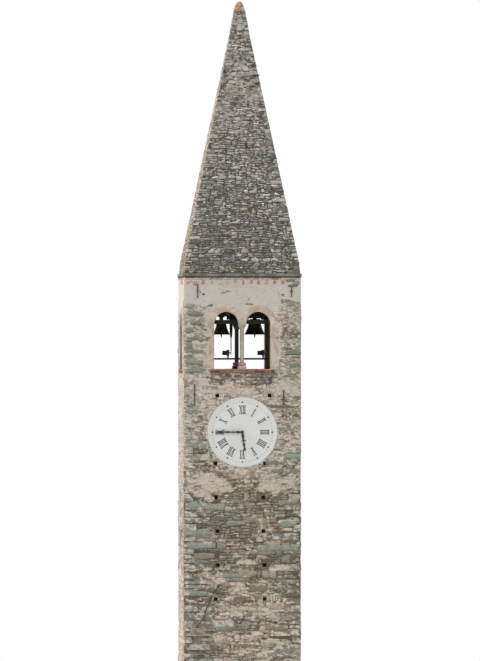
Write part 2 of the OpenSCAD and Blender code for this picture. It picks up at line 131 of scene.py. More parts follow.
def new_piece(name, points, faces, material, slot, body="tower", tones=None, smooth=None):
    """A piece made from points and faces, with a colour for each point if there are tones."""
    mesh = bpy.data.meshes.new(name)
    mesh.from_pydata(np.asarray(points, float).tolist(), [], faces)
    if tones is not None:
        layer = mesh.attributes.new("tone", "FLOAT_COLOR", "POINT")
        layer.data.foreach_set("color", np.asarray(tones, "f").ravel())
    piece = bpy.data.objects.new(name, mesh)
    bpy.context.scene.collection.objects.link(piece)
    return dress(piece, material, body, smooth)


def finish_piece(name, material, body="tower", smooth=35):
    """Names the active object, applies its place and makes a piece of it."""
    piece = bpy.context.object
    piece.name = piece.data.name = name
    bpy.ops.object.transform_apply(location=True, rotation=True, scale=True)
    return dress(piece, material, body, smooth)


def joined(parts):
    """The points and faces of many (points, faces) shapes, as one shape."""
    points, faces, start = [], [], 0
    for part, part_faces in parts:
        points.append(part)
        faces += [tuple(start + v for v in face) for face in part_faces]
        start += len(part)
    return np.concatenate(points), faces


def patches(u, z, size_u, size_z, seed):
    """Smooth random patches between 0 and 1, of about the given sizes."""
    field = np.random.default_rng(seed).random((FIELD, FIELD))
    pu, pz = np.asarray(u) / size_u + AWAY, np.asarray(z) / size_z + AWAY
    iu, iz = np.floor(pu).astype(int), np.floor(pz).astype(int)
    fu, fz = pu - iu, pz - iz
    fu, fz = fu * fu * (3 - 2 * fu), fz * fz * (3 - 2 * fz)
    corners = [[field[(iu + a) % FIELD, (iz + b) % FIELD] for a in (0, 1)] for b in (0, 1)]
    low, high = (left * (1 - fu) + right * fu for left, right in corners)
    return low * (1 - fz) + high * fz


def rough(u, z, size_u, size_z, seed):
    """Patches with finer patches laid over them, between 0 and 1."""
    return (0.55 * patches(u, z, size_u, size_z, seed) + 0.3 * patches(u, z, size_u / 2, size_z / 2, seed + 1)
            + 0.15 * patches(u, z, size_u / 4, size_z / 4, seed + 2))


def ramp(value, low, high):
    """0 below low and 1 above high, smooth between them; with high first it falls instead."""
    t = np.clip((value - low) / (high - low), 0, 1)
    return t * t * (3 - 2 * t)


def blend(first, second, share):
    """Colours between two, with a share of the second at each place."""
    share = np.asarray(share)[..., None]
    return first * (1 - share) + second * share

# %% [markdown]
# ## Helpers for materials
# A finish is a small network of nodes. Written as sums and products it reads like the recipe that it is:
# one class wraps a socket and turns arithmetic into Math nodes, another adds every other kind of node.
# Colours are written as 0 to 255 and turned into light values where they enter a socket.

# %% Arithmetic on sockets
class Signal:
    """One output of a tree's nodes. Arithmetic on it adds Math nodes."""

    def __init__(self, tree, socket):
        self.tree = tree
        self.socket = socket

    def maths(self, operation, *values):
        """A Math node fed with the given values."""
        return self.tree.add("ShaderNodeMath", {"operation": operation}, dict(enumerate(values)))

    def __add__(self, other):
        return self.maths("ADD", self, other)

    def __sub__(self, other):
        return self.maths("SUBTRACT", self, other)

    def __rsub__(self, other):
        return self.maths("SUBTRACT", other, self)

    def __mul__(self, other):
        return self.maths("MULTIPLY", self, other)

    __radd__ = __add__
    __rmul__ = __mul__

    def between(self, low, high):
        """0 below low and 1 above high, smooth between them."""
        return self.tree.add("ShaderNodeMapRange", {"interpolation_type": "SMOOTHSTEP"},
                             {"Value": self, "From Min": low, "From Max": high})


class Tree:
    """A node tree, with one method that adds any node."""

    def __init__(self, tree):
        self.nodes = tree.nodes
        self.links = tree.links

    def feed(self, socket, value):
        """Links a signal to a socket, or sets the socket's own value."""
        if isinstance(value, Signal):
            self.links.new(value.socket, socket)
        elif socket.type == "RGBA":
            socket.default_value = (*linear(value), 1.0)
        else:
            socket.default_value = value

    def add(self, kind, settings=(), inputs=(), output=0):
        """Adds a node, sets it up, feeds its sockets and returns one output."""
        node = self.nodes.new(kind)
        for name, value in dict(settings).items():
            setattr(node, name, value)
        for name, value in dict(inputs).items():
            self.feed(node.inputs[name], value)
        return Signal(self, node.outputs[output])

    def ray(self, kind):
        """1 for rays of a kind, such as Camera or Glossy."""
        return self.add("ShaderNodeLightPath", output=f"Is {kind} Ray")


class Finish(Tree):
    """A procedural material."""

    def __init__(self, name, roughness=0.9, metallic=0.0):
        self.material = bpy.data.materials.new(name)
        self.material.use_nodes = True
        super().__init__(self.material.node_tree)
        self.shader = self.nodes["Principled BSDF"]
        self.place = self.add("ShaderNodeTexCoord", output="Object")
        self.roughness(roughness)
        self.feed(self.shader.inputs["Metallic"], metallic)

    def stretched(self, x, y, z):
        """The place on the piece, squeezed along each axis."""
        return self.add("ShaderNodeMapping", {}, {"Vector": self.place, "Scale": (x, y, z)})

    def wavy(self, x, y, z, amount):
        """The squeezed place, pushed about by noise, so that patterns on it wander."""
        sway = self.add("ShaderNodeTexNoise", {},
                        {"Vector": self.place, "Scale": 3.5, "Detail": 3.0}, "Color")
        return self.add("ShaderNodeVectorMath", {"operation": "MULTIPLY_ADD"},
                        {0: sway, 1: (amount, amount, amount), 2: self.stretched(x, y, z)})

    def noise(self, scale, detail=3.0, roughness=0.55, squeeze=None, distortion=0.0):
        """Cloudy noise, squeezed along each axis if asked."""
        place = self.stretched(*squeeze) if squeeze else self.place
        return self.add("ShaderNodeTexNoise", {}, {"Vector": place, "Scale": scale, "Detail": detail,
                                                   "Roughness": roughness, "Distortion": distortion})

    def tone(self, output="Color"):
        """The piece's painted tone, or as Alpha how much lime lies there."""
        return self.add("ShaderNodeAttribute", {"attribute_name": "tone"}, {}, output)

    def mix(self, factor, first, second, blend_type="MIX"):
        """Two colours mixed by a factor."""
        return self.add("ShaderNodeMix", {"data_type": "RGBA", "blend_type": blend_type},
                        {0: factor, 6: first, 7: second}, 2)

    def colour(self, signal):
        """Sets the colour of the surface."""
        self.feed(self.shader.inputs["Base Color"], signal)

    def roughness(self, signal):
        """Sets how dull the surface is, from 0 to 1."""
        self.feed(self.shader.inputs["Roughness"], signal)

    def bump(self, height, distance=0.01, strength=0.6):
        """Sets the fine relief, which is the last step, and returns the material."""
        relief = self.add("ShaderNodeBump", {},
                          {"Height": height, "Distance": distance, "Strength": strength})
        self.feed(self.shader.inputs["Normal"], relief)
        return self.material

# %% [markdown]
# ## Finishes of stone, mortar and plaster
# Each stone carries its own colour, and its material only adds what every stone has: fine grain,
# darker veins, pale lichen and rough breaks. Mortar and plaster carry a tone from dark, in the open
# joints, to cream, where they lie thick.

# %% Stone and mortar
def stone_finish(name, lichen, lime):
    """Stone with grain, veins and lichen, and smears of lime where the wall's cover is thick."""
    f = Finish(name, 0.92)
    grain = f.noise(28.0, 4.0, 0.65)
    veins = f.noise(5.0, 3.0, 0.6, (1.0, 1.0, 4.0))
    weather = f.noise(9.0, 4.0, 0.7)
    base = f.mix(grain.between(0.3, 0.75), f.tone(), (214, 213, 208), "MULTIPLY")
    base = f.mix(veins.between(0.5, 0.72) * 0.30, base, (98, 92, 82))
    base = f.mix(weather.between(0.52, 0.40) * 0.45, base, (84, 78, 70))
    spots = f.noise(60.0, 2.0).between(0.60, 0.72) * f.noise(3.0, 2.0).between(0.45, 0.65)
    base = f.mix(spots * lichen, base, (196, 192, 180))
    smears = f.noise(4.6, 6.0, 0.66, (1.0, 1.0, 1.5)) * 1.5 + f.tone("Alpha")
    f.colour(f.mix(smears.between(1.08, 1.22) * 0.85, base, lime))
    return f.bump(grain * 0.5 + f.noise(90.0, 3.0) * 0.25 + veins * 0.6, 0.012, 0.7)


def mortar_finish(name, sand, shadow, joint):
    """Lime mortar: thick and creamy, thin with stones showing through, or gone from the joints."""
    f = Finish(name, 0.95)
    cover = f.tone("Alpha")
    blotches = f.noise(2.2, 4.0, 0.6)
    grit = f.noise(70.0, 3.0, 0.7)
    base = f.mix(blotches.between(0.35, 0.7) * 0.30, f.tone(), sand)
    base = f.mix(grit.between(0.52, 0.75) * 0.35, base, (118, 110, 100))
    nicks = f.noise(7.0, 3.0, 0.65, (1.0, 1.0, 2.6)).between(0.66, 0.72)
    specks = f.noise(7.5, 5.0, 0.7, (1.0, 1.0, 1.5)).between(0.58, 0.64)
    pale = f.noise(5.0, 5.0, 0.7).between(0.52, 0.62)
    streaks = f.noise(3.0, 4.0, 0.6, (3.0, 3.0, 0.35)).between(0.55, 0.8)
    for marks, colour in ((nicks * 0.55, (104, 96, 86)), (specks * 0.50, (126, 120, 104)),
                          (pale * 0.30, (198, 190, 180)), (streaks * 0.2, (136, 130, 120))):
        base = f.mix(marks, base, colour)
    mottle = f.noise(9.0, 5.0, 0.72, (1.0, 1.0, 1.5)).between(0.46, 0.60)
    base = f.mix(mottle * cover.between(0.98, 0.70) * 0.55, base, shadow)
    lenses = f.noise(2.7, 5.0, 0.62, (1.0, 1.0, 2.8))
    shown = cover.between(0.88, 0.55)
    base = f.mix(lenses.between(0.49, 0.55) * shown * 0.72, base, shadow)
    base = f.mix(lenses.between(0.57, 0.63) * shown * 0.70, base, joint)
    edges = f.add("ShaderNodeTexVoronoi", {"feature": "DISTANCE_TO_EDGE"},
                  {"Vector": f.wavy(3.0, 3.0, 6.5, 1.6), "Scale": 1.0})
    thin = (cover * 1.2 + f.noise(2.5, 3.0)).between(1.70, 1.34)
    crevices = (edges + f.noise(7.0, 3.0) * 0.22).between(0.25, 0.12) * thin
    base = f.mix(crevices * 0.45, base, joint)
    dabs = f.noise(6.0, 6.0, 0.68, (1.0, 1.0, 1.7)) * 1.1 + cover
    dust = f.noise(5.0, 5.0, 0.75, (1.0, 1.0, 2.2)).between(0.46, 0.60)
    f.colour(f.mix(dabs.between(0.82, 0.96), f.mix(dust * 0.6, joint, shadow), base))
    return f.bump(grit * 0.5 + f.noise(14.0, 4.0, 0.6) * 1.2 - crevices * 2.0, 0.012, 0.6)


STONE = stone_finish("rubble_stone", 0.35, (190, 179, 165))
SPIRE_STONE = stone_finish("spire_stone", 0.6, (168, 164, 155))
MORTAR = mortar_finish("lime_mortar", (192, 180, 166), (132, 124, 106), (84, 74, 62))
SPIRE_MORTAR = mortar_finish("spire_mortar", (168, 162, 152), (120, 112, 102), (66, 61, 55))

# %% [markdown]
# ## Where the wall is open
# Stones stop at the clock, the windows, the doorway and the scaffold holes. The holes are found in the
# wall's own mesh, by the small square faces at the backs of their pockets.

# %% Openings on each side
CLOCK_LO, CLOCK_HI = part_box("clock_rim")
CLOCK_R = (CLOCK_HI.x - CLOCK_LO.x) / 2
CLOCK_Z = (CLOCK_HI.z + CLOCK_LO.z) / 2
SILL_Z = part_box("window_sills")[1].z
SILL_THICK = 0.15
SILL_REACH = 1.2475
SPRING_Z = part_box("column_capitals")[1].z
LINTEL_LO, LINTEL_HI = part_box("door_lintel")
HOLE_DEPTH = 0.40


def scaffold_holes(side):
    """Boxes (u, z, half-size) of the pockets in a shaft wall, from their back faces."""
    mesh = nodes[side + "_wall"].data
    found = {}
    turn = {"front": (1, 0), "right": (0, 1), "back": (-1, 0), "left": (0, -1)}[side]
    for face in mesh.polygons:
        points = [mesh.vertices[i].co for i in face.vertices]
        us = [p.x * turn[0] + p.y * turn[1] for p in points]
        zs = [p.z for p in points]
        depth = [abs(p.y) if side in ("front", "back") else abs(p.x) for p in points]
        small = max(us) - min(us) < 0.2 and max(zs) - min(zs) < 0.2
        if small and max(depth) - min(depth) < 1e-4 and abs(HALF - depth[0] - HOLE_DEPTH) < 0.02:
            middle = (round((max(us) + min(us)) / 2, 2), round((max(zs) + min(zs)) / 2, 2))
            found[middle] = (max(us) - min(us)) / 2
    return [(u, z, r) for (u, z), r in sorted(found.items())]


HOLES = {side: scaffold_holes(side) for side in SIDES}
print("scaffold holes:", {side: len(holes) for side, holes in HOLES.items()})

# %% [markdown]
# ## How much mortar covers the wall
# On a real rubble wall the mason's lime spreads over the stones in some places and has weathered out of
# the joints in others. One function says how thick it lies at each place of each side, from 0 in open
# joints to 1 where smooth plaster hides every stone, so stones, mortar and colours all agree.

# %% Thickness of the mortar
SEED = {"front": 100, "right": 200, "back": 300, "left": 400}
ARCH_U = 0.6175
ARCH_R = 0.47
# Patches of thick lime on each side: u, z, half their width and half their height.
LIME_BLOTS = {
    "front": [(-1.42, 9.42, 0.68, 0.48), (1.25, 9.45, 0.74, 0.38), (0.0, 9.98, 0.66, 0.20),
              (-0.35, 13.12, 1.05, 0.26), (1.75, 13.2, 0.55, 0.42),
              (-1.84, 13.25, 0.44, 0.42), (-0.66, 9.38, 0.40, 0.34),
              (0.1, 6.45, 0.40, 0.08), (-0.9, 5.75, 0.28, 0.10)],
    "right": [(-1.0, 10.9, 0.7, 0.5), (1.0, 6.6, 0.8, 0.5), (-0.5, 3.6, 0.8, 0.4), (0.3, 13.2, 1.2, 0.3)],
    "back": [(0.7, 10.1, 0.9, 0.5), (-1.2, 7.8, 0.6, 0.4), (1.2, 4.0, 0.6, 0.4), (-0.2, 13.2, 1.1, 0.3)],
    "left": [(-0.9, 8.8, 0.7, 0.6), (1.0, 11.6, 0.8, 0.5), (-0.2, 4.5, 0.8, 0.5), (0.2, 13.3, 1.4, 0.4)],
}
# Heights, and how far the lime covers the stones there.
LIME_LEVELS = ([0, 2.6, 5.4, 6.3, 8.8, 9.6, 10.3, 13.2, 13.9, 15.6, 16.5, 16.8],
               [0.33, 0.36, 0.34, 0.25, 0.24, 0.32, 0.44, 0.52, 0.46, 0.50, 0.74, 1.0])
SUNNY_LIME = 0.12
BLOT_COVER = 0.83
CLOCK_COVER = 0.86
# Above the sills the belfry is plastered beside the windows and over them.
PLASTER_BESIDE, PLASTER_OVER, PLASTER_FROM = (1.36, 1.50), (16.15, 16.5), (13.8, 13.95)


def mortar_cover(side, u, z):
    """How far the mortar hides the stones of a side, from 0 to 1."""
    u, z = np.broadcast_arrays(np.asarray(u, float), np.asarray(z, float))
    wander = rough(u, z, 0.8, 0.5, SEED[side]) - 0.5
    cover = np.interp(z, *LIME_LEVELS) + 0.55 * wander + SUNNY_LIME * (side == "left")
    for bu, bz, wide, tall in LIME_BLOTS[side]:
        middle = 1 - ((u - bu) / wide) ** 2 - ((z - bz) / tall) ** 2
        edge = middle + 3.0 * (rough(u, z, 0.4, 0.24, 71) - 0.5)
        cover = np.maximum(cover, BLOT_COVER * ramp(edge, -0.1, 0.5))
    beside = 1 - ramp(np.abs(u) + 0.5 * wander, *PLASTER_BESIDE)
    over = ramp(z + 0.6 * wander, *PLASTER_OVER)
    cover = np.maximum(cover, np.maximum(beside, over) * ramp(z, *PLASTER_FROM))
    under_sill = ramp(z, 13.2, 13.35) * (1 - ramp(z, 13.72, 13.8)) * (1 - ramp(np.abs(u), 1.1, 1.4))
    cover = cover - 0.15 * under_sill
    if side == "front":
        cover = np.maximum(cover, CLOCK_COVER - ramp(off_clock(u, z) - CLOCK_R, 0.02, 0.10))
    roof = 0.08 + 0.30 * wander + 0.24 * ramp(z, 19.0, 24.5)
    return np.clip(np.where(z < EAVES_Z, cover, roof), 0, 1)

# %% [markdown]
# ## One stone, many ways
# A rubble stone is a rough slab with broken edges and a slightly humped face. One is shaped from an
# eight-sided cylinder: its face is inset for the worn rim and poked for the hump. When it is laid, its
# corners are cut back and knocked about by chance, so no two stones match, and each has few faces.

# %% Shape the stone and the corner block
def arrays_of_active():
    """Takes the points and faces of the object just modelled, and removes the object."""
    piece = bpy.context.object
    mesh = piece.data
    points = np.empty(len(mesh.vertices) * 3)
    mesh.vertices.foreach_get("co", points)
    faces = [tuple(face.vertices) for face in mesh.polygons]
    bpy.data.objects.remove(piece)
    bpy.data.meshes.remove(mesh)
    return points.reshape(-1, 3), faces


@contextmanager
def editing(chosen=None):
    """Edit mode, with all faces selected or only those that a test on each face picks out."""
    bpy.ops.object.mode_set(mode="EDIT")
    bpy.ops.mesh.select_mode(type="FACE")
    bpy.ops.mesh.select_all(action="DESELECT" if chosen else "SELECT")
    if chosen:
        bpy.ops.object.mode_set(mode="OBJECT")
        for face in bpy.context.object.data.polygons:
            face.select = bool(chosen(face))
        bpy.ops.object.mode_set(mode="EDIT")
    yield
    bpy.ops.object.mode_set(mode="OBJECT")


def looks_up(face):
    """Whether a face looks along +Z."""
    return face.normal.z > 0.9


def shape_stone():
    """A stone one unit wide, high and proud. Its face looks along +Z and its back lies at z = 0."""
    bpy.ops.mesh.primitive_cylinder_add(vertices=8, radius=0.5412, depth=1.0, location=(0, 0, 0.5),
                                        rotation=(0, 0, math.radians(22.5)))
    bpy.ops.object.transform_apply(location=True, rotation=True, scale=True)
    with editing(looks_up):
        bpy.ops.mesh.inset(thickness=0.15, depth=0.0)
        bpy.ops.mesh.poke()
    return arrays_of_active()


def shape_block(soft, segments=2):
    """A block one unit each way with softened edges."""
    bpy.ops.mesh.primitive_cube_add(size=1.0, location=(0, 0, 0))
    with editing():
        bpy.ops.mesh.bevel(offset=soft, offset_type="OFFSET", segments=segments, affect="EDGES")
    return arrays_of_active()


def shape_quoin(seed):
    """A corner block, one unit each way, with knocked edges."""
    points, faces = shape_block(0.09, 1)
    return points + 0.10 * (np.random.default_rng(seed).random(points.shape) - 0.5), faces


STONE_SHAPE, STONE_FACES = shape_stone()
STONE_X, STONE_Y, STONE_RISE = STONE_SHAPE.T
REACH = np.hypot(STONE_X, STONE_Y)
OUTER = REACH > 0.5
OFF_MIDDLE = REACH > 0.1
RING = OFF_MIDDLE & ~OUTER
ON_END = (np.abs(STONE_X) > np.abs(STONE_Y)) & OFF_MIDDLE
ON_BED = (np.abs(STONE_X) < np.abs(STONE_Y)) & OFF_MIDDLE
FACE_SIDE = STONE_RISE > 0.5
OCTANT = np.floor(np.arctan2(STONE_Y, STONE_X) / math.radians(45)).astype(int) % 8
QUOINS = [shape_quoin(seed) for seed in range(8)]
print("faces of a stone and of a corner block:", len(STONE_FACES), len(QUOINS[0][1]))

# %% Keep clear of the openings
# Each wall anchor: its place u, its height and its length.
ANCHORS = [(-1.725, 16.925, 0.54), (1.9, 16.91, 0.43), (-1.85, 12.93, 0.81), (1.6, 12.8, 0.6)]
ANCHOR_HALF = 0.03
LINTEL_REST = 0.26
LINTEL_HALF = 0.12
UNDER_RIM = 0.03
DOOR_U = (LINTEL_HI.x - LINTEL_LO.x) / 2 - LINTEL_REST


def within(u, z, middle_u, middle_z, half_u, half_z):
    """True inside an upright box on a side."""
    return (np.abs(u - middle_u) < half_u) & (np.abs(z - middle_z) < half_z)


def off_arch(u, z):
    """How far a place is from the middle line of the nearer window, or from its arch's centre."""
    return np.hypot(np.abs(u) - ARCH_U, np.maximum(z - SPRING_Z, 0))


def off_clock(u, z):
    """How far a place is from the clock's centre."""
    return np.hypot(u, z - CLOCK_Z)


def open_at(side, u, z, grow, trim=True):
    """True where the wall is open, or, with trim, covered by the clock, the sill, iron or a lintel."""
    shut = np.zeros(np.shape(u), bool)
    for hu, hz, r in HOLES[side]:
        shut |= within(u, z, hu, hz, r + grow, r + grow)
    beside = np.abs(np.abs(u) - ARCH_U) < ARCH_R + grow
    under_arch = beside & ((z < SPRING_Z) | (off_arch(u, z) < ARCH_R + grow))
    between = (z < SPRING_Z) & (np.abs(u) < ARCH_U)
    shut |= (z > SILL_Z - grow) & (under_arch | between)
    if side == "front":
        shut |= off_clock(u, z) < CLOCK_R - UNDER_RIM + grow
    if side == "back":
        shut |= (np.abs(u) < DOOR_U + grow) & (z < LINTEL_LO.z + grow)
    if trim:
        shut |= within(u, z, 0, SILL_Z - SILL_THICK / 2, SILL_REACH + grow, SILL_THICK / 2 + grow)
        for au, az, tall in ANCHORS if side in ("front", "back") else []:
            shut |= within(u, z, au, az, ANCHOR_HALF + grow, tall / 2 + grow)
        if side == "back":
            level = LINTEL_LO.z + LINTEL_HALF
            shut |= within(u, z, 0, level, DOOR_U + LINTEL_REST + grow, LINTEL_HALF + grow)
    return shut

# %% [markdown]
# ## The order of the stones
# A mason lays rubble in rough lifts: one big block here, two or three thin slabs there. So each course is
# cut into blocks, and each block is split into layers of stones. The corner stones are long and short by
# turns, because they tie two walls together, and all four walls share the same courses.

# %% Lay out the courses
def layers_of(draw, height, thinnest):
    """Splits a block's height into stones, mostly between once and twice the thinnest."""
    count = int(np.clip(round(height / draw.uniform(thinnest, 2.0 * thinnest)), 1, 6))
    parts = draw.uniform(0.6, 1.4, count)
    return parts / parts.sum() * height


def free_reach(side, end, z, lift, longest):
    """How far a corner block can reach along a side from one of its ends before an opening."""
    along = np.arange(0.02, longest + 0.05, 0.04)
    u = end * (half_at(z) - along)
    shut = np.any([open_at(side, u, level, 0.03) for level in (z, z + lift, z + lift / 2)], axis=0)
    return max(float(along[shut.argmax()]) - 0.04, 0.12) if shut.any() else longest


def split_at_openings(side, cells):
    """Cuts a cell that meets an opening into short ones, so that small stones fill round it."""
    kept = []
    for u, z, width, height in cells:
        across = u + np.linspace(-0.5, 0.5, 9) * width
        if width > 0.2 and open_at(side, across, z, 0.02 + height / 2).any():
            parts = int(math.ceil(width / 0.12))
            places = [u + (i + 0.5 - parts / 2) * width / parts for i in range(parts)]
            kept += [(place, z, width / parts, height) for place in places]
        else:
            kept.append((u, z, width, height))
    return np.array(kept)


def lay_stones(z_low, z_high, rise, stone, thinnest, long_short, seed):
    """Cells (u, z, width, height) of each side, and corner blocks (corner, z, height, reach, reach)."""
    draw = np.random.default_rng(seed)
    cells = {side: [] for side in SIDES}
    quoins = []
    z = z_low
    turn = 0
    while z < z_high - 0.01:
        lift = min(draw.uniform(*rise), z_high - z)
        if z_high - z - lift < 0.6 * rise[0]:
            lift = z_high - z
        half = float(half_at(z + lift / 2))
        reach = {}
        for corner in range(4):
            this, other = long_short if (turn + corner) % 2 == 0 else long_short[::-1]
            this, other = (min(r * draw.uniform(0.6, 1.4), 0.6 * half) for r in (this, other))
            reach[corner] = (free_reach(SIDES[corner], 1, z, lift, this),
                             free_reach(SIDES[(corner + 1) % 4], -1, z, lift, other))
            this, other = reach[corner]
            low = z
            for part in layers_of(draw, lift, 0.75 * rise[0]):
                quoins.append((corner, low + part / 2, part, this, other))
                low += part
        for k, side in enumerate(SIDES):
            u = -half + reach[(k - 1) % 4][1]
            stop = half - reach[k][0]
            while u < stop - 0.01:
                block = draw.uniform(*stone) * draw.choice([1.0, 1.6, 2.4])
                if stop - u - block < 0.7 * stone[0]:
                    block = stop - u
                low = z
                big = draw.random() < (0.16 if z_low < EAVES_Z - 1 else 0.05)
                for part in layers_of(draw, lift, 2.2 * thinnest if big else thinnest):
                    left = u
                    while left < u + block - 0.01:
                        width = float(np.clip(part * draw.uniform(1.2, 4.6), *stone))
                        if u + block - left - width < 0.7 * stone[0]:
                            width = u + block - left
                        cells[side].append((left + width / 2, low + part / 2, width, part))
                        left += width
                    low += part
                u += block
        z += lift
        turn += 1
    return {side: split_at_openings(side, cells[side]) for side in SIDES}, np.array(quoins)


WALL_TOP = EAVES_Z - 0.30
CAP_Z = TOP_Z - 0.12
WALL_CELLS, WALL_QUOINS = lay_stones(0.0, WALL_TOP, (0.24, 0.36), (0.14, 0.70), 0.080, (1.0, 0.42), 11)
ROOF_CELLS, ROOF_QUOINS = lay_stones(SPIRE_Z, CAP_Z, (0.13, 0.22), (0.10, 0.34), 0.058, (0.36, 0.18), 12)
print("cells on the front wall and roof:", len(WALL_CELLS["front"]), len(ROOF_CELLS["front"]))

# %% [markdown]
# ## Colours of the stones
# The rubble is what the valley's fields and river gave: mostly green-grey slate, with brown and cream
# stones and a few orange ones. Every stone draws its colour from a small palette with its share of each
# kind. The roof has palettes of its own, tinted darker towards the eaves, and its cap is orange.

# %% Palettes
# Each palette holds colours with the share of stones that have them.
WALL_COLOURS = [((137, 139, 128), 0.22), ((124, 125, 115), 0.13), ((151, 149, 138), 0.13),
                ((136, 122, 107), 0.19), ((158, 145, 129), 0.14), ((98, 90, 81), 0.06),
                ((178, 168, 154), 0.10), ((168, 136, 112), 0.02), ((130, 120, 118), 0.01)]
BROWNS = [((138, 123, 107), 0.35), ((152, 136, 118), 0.3), ((120, 106, 92), 0.2), ((168, 152, 134), 0.15)]
QUOIN_COLOURS = [((139, 140, 130), 0.40), ((128, 129, 120), 0.22), ((150, 149, 139), 0.18),
                 ((126, 112, 98), 0.08), ((160, 150, 136), 0.10)]
ROOF_COLOURS = [((138, 137, 131), 0.26), ((118, 116, 110), 0.20), ((158, 158, 152), 0.18),
                ((94, 91, 85), 0.14), ((174, 171, 162), 0.10), ((134, 122, 108), 0.05),
                ((130, 134, 124), 0.07)]
CAP_COLOURS = [((176, 124, 90), 0.55), ((158, 112, 84), 0.3), ((150, 146, 138), 0.15)]
SUNNY_ROOF = [((176, 160, 144), 0.4), ((160, 142, 126), 0.3), ((150, 144, 134), 0.2), ((120, 104, 92), 0.1)]
# Heights on the roof with how light its stones are, and with how far their colours draw together.
ROOF_TINT = (EAVES_Z + np.array([0.0, 1.2, 2.2, 3.4, 5.0, 6.6, 8.0, 9.0, 10.6]),
             [1.02, 1.08, 1.44, 1.40, 1.47, 1.68, 1.31, 1.70, 1.85])
ROOF_CALM = ([EAVES_Z + 3.0, EAVES_Z + 6.0], [0.0, 0.45])
# How strongly each stone's face is painted lighter above and darker below, and heights with how much dirt and
# painted shade lie on the edges.
PAINTED_RELIEF = 0.6
RIM_FADE = ([EAVES_Z, EAVES_Z + 0.1, EAVES_Z + 3.0, EAVES_Z + 7.0, TOP_Z], [1.0, 1.25, 1.15, 0.6, 0.35])
# Each long slab of the clock side: u, z, width, height and colour.
SLABS = [
    (-1.72, 7.58, 0.95, 0.30, (143, 147, 134)), (-1.60, 7.08, 1.15, 0.23, (142, 147, 134)),
    (1.39, 6.99, 1.60, 0.25, (139, 143, 130)), (-0.25, 7.95, 0.73, 0.19, (138, 145, 134)),
    (-0.37, 5.94, 0.73, 0.19, (140, 144, 132)), (-1.58, 6.87, 0.62, 0.13, (78, 71, 64)),
    (1.62, 12.48, 1.15, 0.12, (122, 102, 84)), (-1.96, 12.33, 0.50, 0.22, (148, 157, 148)),
    (-1.95, 8.65, 0.50, 0.25, (140, 146, 130)), (-1.06, 8.58, 0.80, 0.23, (146, 149, 136)),
    (1.77, 8.78, 0.76, 0.17, (142, 142, 128)), (1.78, 7.93, 0.62, 0.23, (142, 148, 134)),
    (-1.48, 6.70, 0.80, 0.28, (134, 130, 110)), (1.73, 7.71, 0.38, 0.12, (198, 178, 160)),
    (0.60, 5.40, 0.70, 0.20, (130, 116, 100)), (-1.70, 5.25, 0.70, 0.22, (136, 142, 130)),
    (1.95, 10.55, 0.50, 0.20, (140, 148, 138)), (-1.95, 10.95, 0.48, 0.20, (138, 146, 136)),
    (-2.06, 16.33, 0.28, 0.20, (140, 146, 134)), (-1.85, 16.04, 0.56, 0.20, (134, 124, 106)),
    (-1.80, 15.66, 0.42, 0.12, (126, 114, 98)), (-2.04, 15.40, 0.28, 0.20, (126, 130, 118)),
    (-2.06, 14.82, 0.26, 0.26, (128, 138, 122)), (-1.84, 14.59, 0.64, 0.11, (130, 124, 106)),
    (-1.88, 14.18, 0.66, 0.20, (132, 138, 122)), (-1.86, 13.84, 0.60, 0.15, (134, 140, 124)),
    (2.08, 6.08, 0.26, 0.26, (92, 84, 76)), (1.93, 5.15, 0.64, 0.15, (102, 84, 72)),
    (-0.66, 3.89, 0.78, 0.24, (130, 136, 120)), (-1.72, 3.80, 0.60, 0.24, (150, 130, 114)),
    (-0.90, 3.46, 0.42, 0.34, (190, 174, 156)), (0.95, 3.30, 0.50, 0.30, (182, 166, 150)),
    (1.35, 4.75, 0.55, 0.26, (178, 158, 142)), (0.30, 4.95, 0.60, 0.10, (104, 88, 76)),
    (2.00, 14.05, 0.42, 0.20, (120, 126, 112)), (1.95, 14.55, 0.55, 0.18, (116, 122, 108)),
    (1.15, 10.30, 0.50, 0.18, (122, 126, 114)), (-1.90, 15.10, 0.50, 0.14, (132, 124, 108)),
    (1.36, 9.98, 0.50, 0.16, (128, 124, 110))]
# Where the clock side darkens: the heights, and the distances from its middle.
FOOT_SHADE = (9.3, 8.3)
EDGE_SHADE = (0.9, 1.9)


def side_shade(side, u, z):
    """How much light the clock side throws back: less towards its lower edges and the roof's left."""
    u, z = np.broadcast_arrays(u, z)
    if side != "front":
        return np.ones(u.shape)
    low = ramp(z, *FOOT_SHADE) * (0.12 - 0.34 * ramp(np.abs(u), *EDGE_SHADE))
    return 1 + np.where(z < EAVES_Z, low, 0.10 * u / half_at(z))


def draw_colours(palette, count, draw, spread=0.10):
    """A colour for each stone: one of the palette's, a little lighter or darker."""
    shares = np.array([share for _, share in palette])
    picked = draw.choice(len(palette), count, p=shares / shares.sum())
    colours = np.array([linear(colour) for colour, _ in palette])[picked]
    colours = colours * (1 + spread * draw.standard_normal((count, 1))) * (
        1 + 0.25 * spread * draw.standard_normal((count, 3)))
    return np.clip(colours, 0.01, 0.95)

# %% [markdown]
# ## Lay the stones
# A stone's place is its cell, pushed about by smooth waves so that no course runs dead straight. It is
# copied there, turned a little, and its corners follow the wall, so the same code lays the upright shaft
# and the leaning roof. Each side is one joined mesh. The clock side's long slabs are set one by one.

# %% Copy stones to their cells
# Stones' backs lie inside the wall. Above WAVY_TOP the courses run straighter, and browns end at
# BROWN_TOP. The corners of the clock side are in shade below LOW_SHADE_TOP.
BACK = -0.02
OVER_GROUND = 0.004
CAP_FOOT = TOP_Z - 0.46
WAVY_TOP = 6.2
BROWN_TOP = 10.2
LOW_SHADE_TOP = 8.8
PLASTER_FOOT = 16.6
SLAB_OUT = 0.042
WORN_RIM = 0.02
LONGEST_BREAK = 0.16
CLEAR = 0.012
HIP_WIDE, HIP_SHARE, HIP_DARK = 0.45, 0.3, 0.55
HEART_HALF = 1.3


